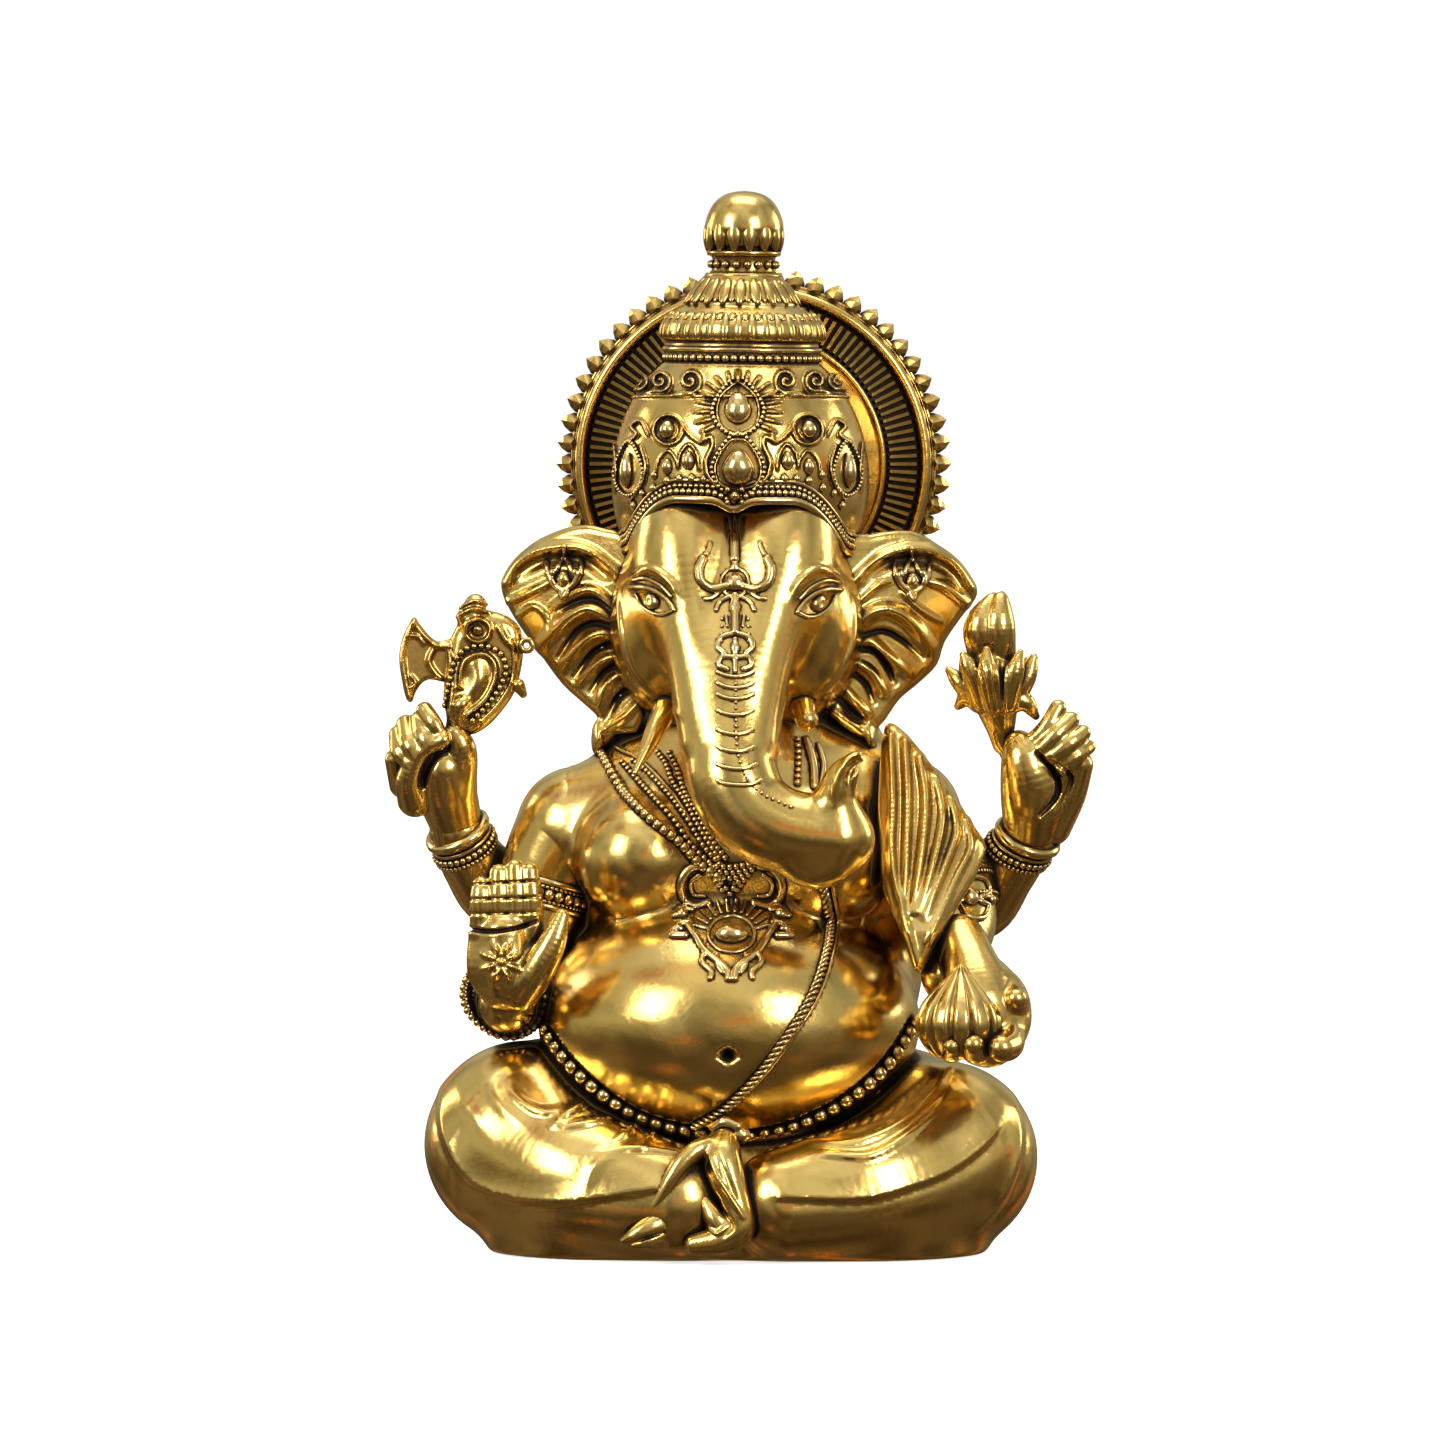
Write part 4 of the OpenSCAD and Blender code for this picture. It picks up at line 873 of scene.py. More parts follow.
def rounded_profile(points, steps=6):
    rows = route([(r, z, 0) for r, z in points], steps)[:, :2]
    rows[:, 0] = np.maximum(rows[:, 0], 0.01)
    return np.vstack([(0, rows[0, 1]), rows, (0, rows[-1, 1])])


modak_centre = drawn([(43.6, 46, -30.5)])[0]
pleats = 12
ready(turned("sweet", rounded_profile([(0.01, -7.2), (5, -6.6), (8, -3.4), (8.9, 0.4), (7.6, 4), (4.4, 7.6),
                                       (1.9, 10), (0.9, 11.2), (0.01, 11.8)], 8),
             modak_centre, antique, 180,
             lambda a, h: (-1.2 * np.abs(np.cos(pleats / 2 * (a + 0.2))) ** 9
                           * np.clip(1.2 - np.abs(h) / 11, 0.25, 1))),
      "modak")

# ---- Rear hands ----
# Two closed fists, each with a raised first finger, that grip the axe's
# handle and the lotus stalk.

right_fist = join(
    0.8, limb(drawn([(-57.6, 86, 6, 5.4), (-59, 91, 4, 6), (-60, 96, 2, 5.6)]), 6),
    limb(drawn([(-57, 93, 3, 4), (-56.2, 100, 0, 3.2), (-57.6, 103.4, -1, 2)]), 6),
    limb(drawn([(-65.5, 90, 2, 3.6), (-66.4, 94, -1, 2.8), (-64.4, 99, -3, 1.9), (-59.6, 102, -4, 1.5)]),
         6),
    limb(drawn([(-68, 93, 4, 2.8), (-69.4, 98, 2, 2.2)]), 4),
    limb(drawn([(-69, 103, 2, 1.8), (-68.6, 99.6, -1.6, 1.7), (-67, 97.6, -2.6, 1.3)]), 4),
    limb(drawn([(-67.2, 105, 1.6, 2.1), (-66.4, 101, -2.4, 2), (-64.8, 98.8, -3, 1.5)]), 4),
    limb(drawn([(-64.2, 106, 1, 2.1), (-63.4, 102.4, -3, 2), (-61.6, 100.4, -3.4, 1.5)]), 4),
    limb(drawn([(-63.4, 108, -1, 1.7), (-61.6, 105.4, -3, 1.7), (-60.2, 103.2, -3.2, 1.4)]), 4))
right_fist = chased(right_fist, [([(-61, 99.4, -0.6), (-63, 96, -1.4), (-64, 93, -0.6)], 1.4)])
ready(cast("right_fist", right_fist, (-74, -9, 78), (-47, 16, 114), 0.32, antique), "rear_right_hand")
left_fist = join(
    0.8, limb(drawn([(58.6, 85, 5, 5.6), (58.8, 91, 2, 6.4), (57.6, 97, 0, 5.2), (56, 101, 0, 3)]), 6),
    limb(drawn([(62.6, 85, 7, 4.4), (66, 91, 4, 3.6), (68, 97, 2, 3)]), 6),
    limb(drawn([(61.4, 90, 4, 5), (64, 97, 1.6, 3.8)]), 4),
    limb(drawn([(58, 101, -1, 1.8), (61.4, 104.4, -2, 1.8), (63.8, 108.4, -1, 1.7)]), 4),
    limb(drawn([(60, 99.6, -2.4, 1.9), (63.4, 103, -3, 1.9), (66.4, 106, -1, 1.7)]), 4),
    limb(drawn([(62, 98, -3, 1.9), (66, 101.2, -3, 1.9), (68.8, 103.4, -1, 1.6)]), 4),
    limb(drawn([(64.4, 96.4, -2.6, 1.8), (67.6, 99, -2.4, 1.8), (70, 100.6, 0, 1.4)]), 4))
left_fist = chased(left_fist, [([(59.6, 99.4, -0.8), (63.4, 95, -1.4), (63.6, 91, -1.4), (60.2, 87, -0.8)],
                                0.9),
                               ([(62, 98.4, -0.3), (66.4, 94.6, -0.8), (65, 90, -0.3)], 0.8)])
ready(cast("left_fist", left_fist, (46, -9, 76), (74, 16, 114), 0.32, antique), "rear_left_hand")

# ---- Girdle beads and clasp ----
# A string of cast beads, largest at the middle of each side, soldered into the
# groove below the belly, and the knotted clasp where its two ends meet.

# Its third colour is the near-black of its hollows: dark oxide together with painted shade.
bright = metal("bright_brass", (0.94, 0.74, 0.37), (0.88, 0.64, 0.25), (0.022, 0.013, 0.007), 0.17)

def socket_of(tree, name):
    return next(item.identifier for item in tree.interface.items_tree
                if item.item_type == "SOCKET" and item.in_out == "INPUT" and item.name == name)


def new_rule(name, inputs):
    """A Geometry Nodes tree that takes the piece's mesh and the named inputs."""
    tree = bpy.data.node_groups.new(name, "GeometryNodeTree")
    tree.interface.new_socket("Geometry", in_out="INPUT", socket_type="NodeSocketGeometry")
    for label, kind, value in inputs:
        item = tree.interface.new_socket(label, in_out="INPUT", socket_type="NodeSocket" + kind)
        if value is not None:
            item.default_value = value
    tree.interface.new_socket("Geometry", in_out="OUTPUT", socket_type="NodeSocketGeometry")
    return tree, add_node(tree, "NodeGroupInput").outputs


def close_rule(tree, geometry, material, smooth=True):
    single = add_node(tree, "GeometryNodeRealizeInstances", sockets={"Geometry": geometry})
    if smooth:
        single = add_node(tree, "GeometryNodeSetShadeSmooth", sockets={"Geometry": single.outputs[0]})
    metal_on = add_node(tree, "GeometryNodeSetMaterial",
                        sockets={"Geometry": single.outputs[0], "Material": material})
    add_node(tree, "NodeGroupOutput", sockets={"Geometry": metal_on.outputs[0]})


def wear(mesh, material):
    mesh.materials.clear()
    mesh.materials.append(material)
    mesh.polygons.foreach_set("material_index", np.zeros(len(mesh.polygons), np.int32))


def apply_rule(piece, tree, **inputs):
    """Runs the tree on the piece with these inputs and keeps only the mesh that comes out."""
    run = piece.modifiers.new(tree.name, "NODES")
    run.node_group = tree
    for label, value in inputs.items():
        run[socket_of(tree, label.replace("_", " "))] = value
    bpy.context.view_layer.update()
    made = bpy.data.meshes.new_from_object(piece.evaluated_get(bpy.context.evaluated_depsgraph_get()))
    piece.modifiers.remove(run)
    wear(made, inputs["Material"])
    old, piece.data = piece.data, made
    bpy.data.meshes.remove(old)
    return piece


def path_piece(name, lines, sizes=None, closed=False):
    """Loose edges along each route in millimetres, with a size for each point."""
    points, edges, size = [], [], []
    for line in lines:
        n, first = len(line), len(points)
        points += [tuple(p[:3] * MM) for p in np.asarray(line, np.float64)]
        edges += ([(first + i, first + i + 1) for i in range(n - 1)]
                  + ([(first + n - 1, first)] if closed else []))
        size += list(np.ones(n) if sizes is None
                     else np.interp(np.linspace(0, 1, n), np.linspace(0, 1, len(sizes)), sizes))
    mesh = bpy.data.meshes.new(name)
    mesh.from_pydata(points, edges, [])
    mesh.attributes.new("size", "FLOAT", "POINT").data.foreach_set("value", size)
    piece = bpy.data.objects.new(name, mesh)
    bpy.context.scene.collection.objects.link(piece)
    return piece


bead_string, g = new_rule("bead_string", [("Bead radius", "Float", 1.0), ("Spacing", "Float", 1.0),
                                          ("Material", "Material", None),
                                          ("Segments", "Int", 14), ("Rings", "Int", 8)])
curve = add_node(bead_string, "GeometryNodeMeshToCurve", sockets={"Mesh": g["Geometry"]})
evenly = add_node(bead_string, "GeometryNodeResampleCurve", mode="LENGTH",
                  sockets={"Curve": curve.outputs[0], "Length": g["Spacing"]})
ball = add_node(bead_string, "GeometryNodeMeshUVSphere",
                sockets={"Radius": g["Bead radius"], "Segments": g["Segments"], "Rings": g["Rings"]})
size = add_node(bead_string, "GeometryNodeInputNamedAttribute", sockets={"Name": "size"})
beads = add_node(bead_string, "GeometryNodeInstanceOnPoints",
                 sockets={"Points": evenly.outputs[0], "Instance": ball.outputs["Mesh"],
                          "Scale": size.outputs["Attribute"]})
close_rule(bead_string, beads.outputs[0], g["Material"])


def beaded(name, lines, radius, spacing, material=bright, sizes=None, closed=False, segments=14, rings=8):
    return apply_rule(path_piece(name, lines, sizes, closed), bead_string, Bead_radius=radius * MM,
                      Spacing=spacing * MM,
                      Material=material, Segments=segments, Rings=rings)


def merged(name, *parts):
    """One piece from several of the same material."""
    whole = bmesh.new()
    for part in parts:
        whole.from_mesh(part.data)
    mesh = bpy.data.meshes.new(name)
    whole.to_mesh(mesh)
    whole.free()
    wear(mesh, parts[0].data.materials[0])
    for part in parts:
        old = part.data
        bpy.data.objects.remove(part)
        bpy.data.meshes.remove(old)
    piece = bpy.data.objects.new(name, mesh)
    bpy.context.scene.collection.objects.link(piece)
    return piece


string_lines = [laid(figure_front, line, 0.3, 12) for line in (girdle_right, girdle_left)]
ready(beaded("girdle_beads", string_lines, 1.56, 2.9, sizes=(0.7, 0.84, 0.94, 1, 1, 0.98, 0.9), segments=20,
             rings=12),
      "girdle_beads", slot="bright_brass")
clasp = join(0.5, blob((-0.6, -33.6, 25), (3.8, 3, 1.7)), blob((-2.4, -35.4, 24), (2, 1.6, 1.7)),
             blob((1.8, -35.2, 25.4), (2.2, 1.6, 1.6)),
             limb(drawn([(-4.6, 25.4, -34.6, 1.1), (-3, 26.4, -35.2, 1.2), (-0.6, 25.6, -35.8, 1.1)]), 6))
ready(cast("girdle_clasp", clasp, (-8, -39, 20), (7, -29, 30), 0.25, bright), "girdle_clasp",
      slot="bright_brass")

# ---- Sacred thread ----
# A cord of three twisted strands with a plain cord beside it, wax-cast flat
# on the body, from below the trunk over the belly down to the girdle.

twisted_cord, g = new_rule("twisted_cord", [("Strand radius", "Float", 1.0), ("Lay", "Float", 1.0),
                                            ("Material", "Material", None)])
curve = add_node(twisted_cord, "GeometryNodeMeshToCurve", sockets={"Mesh": g["Geometry"]})
evenly = add_node(twisted_cord, "GeometryNodeResampleCurve", mode="LENGTH",
                  sockets={"Curve": curve.outputs[0], "Length": g["Strand radius"]})
along = add_node(twisted_cord, "GeometryNodeSplineParameter")
angle = maths(twisted_cord, "MULTIPLY", maths(twisted_cord, "DIVIDE", along.outputs["Length"], g["Lay"]),
              2 * math.pi)
tilted = add_node(twisted_cord, "GeometryNodeSetCurveTilt", sockets={"Curve": evenly.outputs[0],
    "Tilt": angle})
strand = add_node(twisted_cord, "GeometryNodeCurvePrimitiveCircle", sockets={"Resolution": 10,
    "Radius": g["Strand radius"]})
aside = maths(twisted_cord, "MULTIPLY", g["Strand radius"], 0.95)
profile = add_node(twisted_cord, "GeometryNodeJoinGeometry")
for k in range(3):
    a = k * 2 * math.pi / 3
    shift = add_node(twisted_cord, "ShaderNodeCombineXYZ", sockets={
        "X": maths(twisted_cord, "MULTIPLY", aside, math.cos(a)), "Y": maths(twisted_cord, "MULTIPLY",
            aside, math.sin(a))})
    moved = add_node(twisted_cord, "GeometryNodeTransform",
                     sockets={"Geometry": strand.outputs[0], "Translation": shift.outputs[0]})
    twisted_cord.links.new(moved.outputs[0], profile.inputs[0])
rope = add_node(twisted_cord, "GeometryNodeCurveToMesh", sockets={"Curve": tilted.outputs[0],
    "Profile Curve": profile.outputs[0], "Fill Caps": True})
close_rule(twisted_cord, rope.outputs[0], g["Material"])


def cord(name, lines, strand_radius, lay):
    return apply_rule(path_piece(name, lines), twisted_cord, Strand_radius=strand_radius * MM, Lay=lay * MM,
                      Material=bright)


def thickened(line, radius):
    return np.hstack([line[:, :3], np.full((len(line), 1), radius, np.float32)])


def rod(name, rows, material, around=12):
    """A round bar along rows of x, y, z and radius, with rounded ends."""
    rows = np.asarray(rows, np.float64)
    tangent = np.gradient(rows[:, :3], axis=0)
    tangent /= np.linalg.norm(tangent, axis=1)[:, None]
    side = np.cross(tangent, (0.31, 0.17, 0.93))
    side /= np.linalg.norm(side, axis=1)[:, None]
    other = np.cross(tangent, side)
    caps = [(0, -1.0, 0), (0, -0.7, 0.7)], [(-1, 0.7, 0.7), (-1, 1.0, 0)]
    rings = [(rows[i, :3] + tangent[i] * rows[i, 3] * s, side[i], other[i], rows[i, 3] * k) for i, s,
             k in caps[0]]
    rings += [(rows[i, :3], side[i], other[i], rows[i, 3]) for i in range(len(rows))]
    rings += [(rows[i, :3] + tangent[i] * rows[i, 3] * s, side[i], other[i], rows[i, 3] * k) for i, s,
              k in caps[1]]
    a = np.arange(around) * 2 * math.pi / around
    points = np.array([c + r * (np.cos(a)[:, None] * s + np.sin(a)[:, None] * o) for c, s, o,
                       r in rings]).reshape(-1, 3)
    i, j = np.meshgrid(np.arange(len(rings) - 1), np.arange(around), indexing="ij")
    k = (j + 1) % around
    faces = np.stack([i * around + j, i * around + k, (i + 1) * around + k, (i + 1) * around + j],
                     -1).reshape(-1, 4)
    return sealed(new_piece(name, points, faces, material))


thread_line = [(16.4, 74), (17.6, 67.6), (17.6, 62.6), (16.4, 57.6), (15, 53.6), (12.8, 49), (10, 44.6),
               (7, 40.6), (4, 36.6), (0, 32.2), (-4, 28.6), (-9, 25.8)]
thread = cord("thread_rope", [laid(torso, thread_line, 0.65, 8)], 0.52, 4.4)
beside = rod("thread_side", thickened(laid(torso, [(u + 1.55, v + 0.5) for u, v in thread_line], 0.15, 8),
                                      0.5), bright)
ready(merged("sacred_thread", thread, beside), "sacred_thread", slot="bright_brass")

# ---- Necklaces ----
# Six strings of small beads from the neck that gather above the pendant, cast
# with the breast, with a folded lock and its beads right of the trunk.

strings = [
    ([(-28, 99.6), (-26.2, 96.5), (-23.5, 91.9), (-20.3, 88.2), (-16.1, 84.6), (-12, 81.4), (-8.3, 77.7),
      (-4.4, 75)], 1.1, 1.75),
    ([(-23.6, 97.4), (-20.7, 94.2), (-17, 90.1), (-12.9, 85.5), (-9.8, 81), (-5, 76.8)], 0.72, 1.35),
    ([(-21.4, 97.8), (-18.4, 95.6), (-14.3, 91.2), (-10.6, 86.2), (-7.6, 81.4), (-4, 77.4)], 0.66, 1.25),
    ([(-16.4, 99.6), (-14.7, 97.2), (-13.4, 93.7), (-10.6, 89.2), (-7.9, 84.1), (-4.2, 78.6)], 0.62, 1.15),
    ([(-14, 99.4), (-12.4, 96), (-11.2, 92), (-8.6, 87.4), (-6, 82.6), (-3, 78.6)], 0.6, 1.15),
    ([(11.4, 102), (11.6, 98), (11.4, 93.4)], 0.7, 1.3),
]
necklaces = [beaded("string", [laid(torso, points, radius * 0.45, 8)], radius, spacing,
                    sizes=(0.8, 1, 1, 1, 1.1), segments=12, rings=7)
             for points, radius, spacing in strings]
cowl = [rod("fold", thickened(laid(torso, points, 0.2, 8), radius), bright) for points, radius in (
    ([(-25, 100.4), (-19.4, 97.4), (-13.8, 91.6), (-10, 86)], 0.45),
    ([(13.2, 102), (14.6, 97), (14.8, 92.6)], 0.9),
    ([(15.6, 101), (16.6, 97), (16, 93)], 0.6))]
gather = [beaded("gather",
                 [laid(torso, [(-2 - 0.72 * (7 - k), 77.4 - k), (-2, 76.8 - 1.05 * k),
                               (-2 + 0.72 * (7 - k), 77.4 - k)], 0.55, 5)],
                 0.68, 1.2, segments=12, rings=7) for k in range(6)]
ready(merged("necklaces", *necklaces, *cowl, *gather), "necklace_strands", slot="bright_brass")

# ---- Pendant ----
# A cast breast ornament: an oval gem in a ribbed fan, horns above, a leaf on
# each side and three prongs below, soldered on the breast.


def relief(name, solid, flat_bars, drops, low, high, step):
    """Bars and domed drops worked onto the front of a solid, skinned as one piece."""
    lines = laid_all(solid, [(points, radius * 0.25) for points, radius in flat_bars], 5)
    parts = [limb(thickened(line, radius), 1) for line, (points, radius) in zip(lines, flat_bars)]
    parts += domes(solid, drops)
    return cast(name, join(0.25, *parts), low, high, step, bright)


def dome(centre, normal, wide, tall, proud):
    """A drop with its point up, whose flat side faces the work."""
    side = np.cross(normal, (0, 0, 1))
    side /= np.linalg.norm(side)
    turn = np.stack([side, np.cross(side, normal), normal], 1).astype(np.float32)
    centre = centre.astype(np.float32)

    def distance(p):
        q = (p - centre) @ turn
        squeeze = 1 + 0.42 * np.clip(q[:, 1] / tall, 0, 1.1)
        k = np.sqrt((q[:, 0] * squeeze / wide) ** 2 + (q[:, 1] / tall) ** 2 + (q[:, 2] / proud) ** 2)
        return (k - 1) * min(wide, proud, tall) * 0.8
    return nearby(distance, centre - max(wide, tall), centre + max(wide, tall), 3)


def domes(solid, drops):
    """Drops on the solid's front, each across and up, then wide, tall and proud."""
    centres, normals = on_front(solid, [drop[:2] for drop in drops])
    return [dome(centre, normal, *drop[2:]) for centre, normal, drop in zip(centres, normals, drops)]


pm = -1.7
bars = [
    ([(pm - 5.6, 77), (pm - 8.4, 76.4), (pm - 10.2, 73.6), (pm - 9.6, 70.4), (pm - 7.4, 68.6),
      (pm - 4.6, 69.4)], 0.85),
    ([(pm - 6.4, 75.2), (pm - 8.2, 73.6), (pm - 7.6, 71.2), (pm - 5.4, 70.8)], 0.5),
    ([(pm - 8.6, 65), (pm - 6.8, 62.6), (pm - 5.2, 60.2), (pm - 2.4, 58), (pm - 0.9, 56.6),
      (pm - 0.6, 54.8)], 0.78),
    ([(pm - 5.2, 60), (pm - 5.8, 58), (pm - 4, 56.2), (pm - 4.2, 54.9)], 0.62),
    ([(pm - 2.8, 59.6), (pm - 2.8, 57.4), (pm - 1.8, 56)], 0.5),
    ([(pm - 8.4, 65.4), (pm - 10.2, 65), (pm - 11.6, 63.2), (pm - 9.2, 63)], 0.85),
    ([(pm - 8, 68), (pm - 10, 68.4), (pm - 11.2, 66.8)], 0.75),
]
bars = bars + [([(2 * pm - u, v) for u, v in points], radius) for points, radius in bars]
bars += [([(pm + 4.6 * math.cos(a), 63.4 + 3.5 * math.sin(a)) for a in np.linspace(0, 2 * math.pi, 17)],
          0.42)]
bars += [([(pm + 5.2 * math.cos(a), 64 + 3.8 * math.sin(a)),
           (pm + 7.4 * math.cos(a), 64.2 + 6.0 * math.sin(a))], 0.42)
         for a in np.radians(np.linspace(8, 172, 12))]
drops = [(pm, 63.2, 3.4, 2.4, 2.6), (pm - 9.8, 67.2, 1.3, 1.4, 1.5), (pm + 9.8, 67.2, 1.3, 1.4, 1.5),
         (pm - 10.6, 64.2, 1.4, 1, 1.3), (pm + 10.6, 64.2, 1.4, 1, 1.3)]
ready(relief("pendant", torso, bars, drops, (-16, -40, 50), (13, -12, 84), 0.22), "pendant",
      slot="bright_brass")

# ---- Ear ornaments ----
# A small crown-shaped stud with three points sits on the upper rim of each
# ear; it was cast apart and soldered on.


def stud(name, node, ear_form, u, v, low, high):
    bars = [([(u - 0.6, v - 3.4), (u, v - 4.2), (u + 0.6, v - 3.4)], 0.7),
            ([(u - 3.2, v + 0.6), (u - 2, v - 1.6), (u, v - 3)], 0.75),
            ([(u + 3.2, v + 0.6), (u + 2, v - 1.6), (u, v - 3)], 0.75),
            ([(u - 3.4, v + 0.8), (u - 3.6, v + 2.9)], 0.55),
            ([(u + 3.4, v + 0.8), (u + 3.6, v + 2.9)], 0.55),
            ([(u - 1.5, v + 1.2), (u, v + 3.8), (u + 1.5, v + 1.2)], 0.6),
            ([(u, v + 4), (u, v + 6)], 0.5)]
    drops = [(u, v - 0.6, 1.5, 1.9, 1.6), (u - 2.3, v + 0.8, 0.9, 1, 1.1), (u + 2.3, v + 0.8, 0.9, 1, 1.1)]
    return ready(relief(name, ear_form, bars, drops, low, high, 0.2), node, slot="bright_brass")


stud("right_stud", "right_ear_ornament", right_ear_form, -35.4, 135, (-42, -6, 127), (-29, 16, 144))
stud("left_stud", "left_ear_ornament", left_ear_form, 34.6, 134.6, (28, -6, 127), (42, 16, 144))

# ---- Eyes ----
# Oval eyeballs with a pricked pupil, let into the head, each between two raised
# almond lids with a crease above; the lids were cast with the eyes and soldered.


def eyeball(u, v, slant):
    centre, normal = on_front(head, [(u, v)])
    side = np.cross((0, 0, 1), normal[0])
    turn = Matrix(np.array([side, np.cross(normal[0], side),
                            normal[0]]).T).to_4x4() @ Matrix.Rotation(slant, 4, "Z")
    profile = [(0, -1), (1.2, -0.8), (1.72, -0.2), (1.66, 0.35), (1.35, 0.8), (0.95, 1.08), (0.6, 1.15),
               (0.42, 1.06), (0.28, 1.0), (0, 1.02)]
    return turned("eyeball", profile, centre[0] + normal[0] * 0.1, bright, 40,
                  matrix=turn @ Matrix.Diagonal((1.42, 1.08, 0.9, 1)))


lids = [[(-22, 132.4), (-19.6, 132.6), (-17, 131.9), (-14.6, 130.2), (-13, 127.8)],
        [(-20.6, 131.2), (-19.4, 128.8), (-17, 127.2), (-14.8, 127), (-13, 127.8)],
        [(-21.6, 134), (-18.6, 134.2), (-15.6, 132.6), (-13.6, 130.6)]]
lids += [[(-1.8 - u, v - 0.4) for u, v in lid] for lid in lids]
lid_rods = [rod("lid", thickened(line, 0.34 + 0.16 * (k % 3 == 0)), bright, 10)
            for k, line in enumerate(laid_all(head, [(lid, 0.25) for lid in lids], 5))]
ready(merged("eyes", eyeball(-17.3, 129.7, -0.35), eyeball(15.5, 129.3, 0.35), *lid_rods), "eyes",
      slot="bright_brass")

# ---- Forehead mark ----
# A raised mark in low relief: horns round a ringed disc on the brow, leaves and
# scrolls below it, then a ladder of short bars and dots down the trunk.

tm = -1.0
bars = [
    ([(tm - 1.8, 132.4), (tm - 4.4, 132), (tm - 6.6, 133.4), (tm - 7.2, 136), (tm - 6.4, 138)], 0.9),
    ([(tm - 6.4, 138), (tm - 5.4, 139.8), (tm - 5, 141.2)], 0.5),
    ([(tm - 1.2, 130.4), (tm - 3.0, 129.4), (tm - 3.8, 127.8)], 0.5),
    ([(tm - 3, 131.4), (tm - 4.6, 130.2), (tm - 6, 130)], 0.45),
    ([(tm - 0.8, 123), (tm - 2.8, 122.2), (tm - 3.4, 120.4), (tm - 2.2, 119.2)], 0.6),
    ([(tm - 0.6, 118.4), (tm - 2.6, 118.4), (tm - 3.2, 116.8), (tm - 1.6, 116)], 0.55),
    ([(tm - 1.8, 126.6), (tm - 1.5, 124.6)], 0.35),
]
bars = bars + [([(2 * tm - u, v) for u, v in points], radius) for points, radius in bars]
bars += [([(tm, 147), (tm + 0.1, 143.6), (tm, 139), (tm, 136)], 0.5),
         ([(tm, 142.6), (tm, 140.2), (tm, 138)], 0.9),
         ([(tm, 130.6), (tm, 127), (tm, 123.4)], 0.8), ([(tm, 122), (tm, 118), (tm, 115.6)], 0.5)]
bars += [([(tm + 2.8 * math.cos(a), 133.3 + 2.8 * math.sin(a)) for a in np.linspace(0, 2 * math.pi, 13)],
          0.36)]
bars += [([(tm - 3.5, v + 0.5), (tm - 2, v - 0.2), (tm + s, v - 0.5), (tm + 2 + s, v - 0.2),
           (tm + 3.5 + s, v + 0.5)], 0.42)
         for v, s in ((115, 0), (112.8, 0), (110.6, 0), (107.4, 0), (103.6, 0), (100.2, 0.2), (96.8, 0.6),
                      (93.6, 1.6))]
drops = [(tm, 133.3, 2.0, 2.0, 1.6), (tm, 120.4, 1, 1.5, 0.9), (tm, 136.6, 0.9, 1.1, 0.8),
         (tm, 128.6, 1.3, 1.8, 1.1)]
mark = relief("forehead_mark_body", head, bars, drops, (-12, -42, 90), (12, -6, 150), 0.22)
dots = beaded("dots", laid_all(head, [(points, 0.1) for points in (
    [(tm - 2.6, 126), (tm - 2.7, 121.6)], [(tm + 2.6, 126), (tm + 2.7, 121.6)],
    [(tm + 0.1, 114.4), (tm + 0.6, 99), (3.4, 92.2), (10, 88.8)])], 5),
    0.36, 1.25, segments=10, rings=6)
ready(merged("forehead_mark", mark, dots), "forehead_tilak", slot="bright_brass")

# ---- Crown ----
# A vase-shaped crown over the skull, chased all round: scrolls at the top,
# framed drops in the middle, and a rim that arches over the brow.

crown_wide, crown_tall, crown_y, crown_z = 26, 30, 9, 154
rim_z, crown_top = 137, 181.5


def crown_half(h):
    """The crown's half width at a height above its rim's lowest level."""
    return crown_wide * math.sqrt(max(0, 1 - ((h + rim_z - crown_z) / crown_tall) ** 2))


def rim_rise(a):
    """How high the crown's rim stands at an angle round from the front: it arches over the brow."""
    a = np.abs(a)
    t = np.clip((a - 25) / 45, 0, 1)
    return 2.2 + 10.6 * (1 - t * t * (3 - 2 * t)) - 0.09 * np.maximum(a - 70, 0)


def below_rim(p):
    """Below 0 under the crown's arched rim, where nothing of it stands."""
    turn = np.degrees(np.arctan2(np.abs(p[:, 0]), crown_y - p[:, 1]))
    return 0.85 * (p[:, 2] - rim_z - rim_rise(turn))


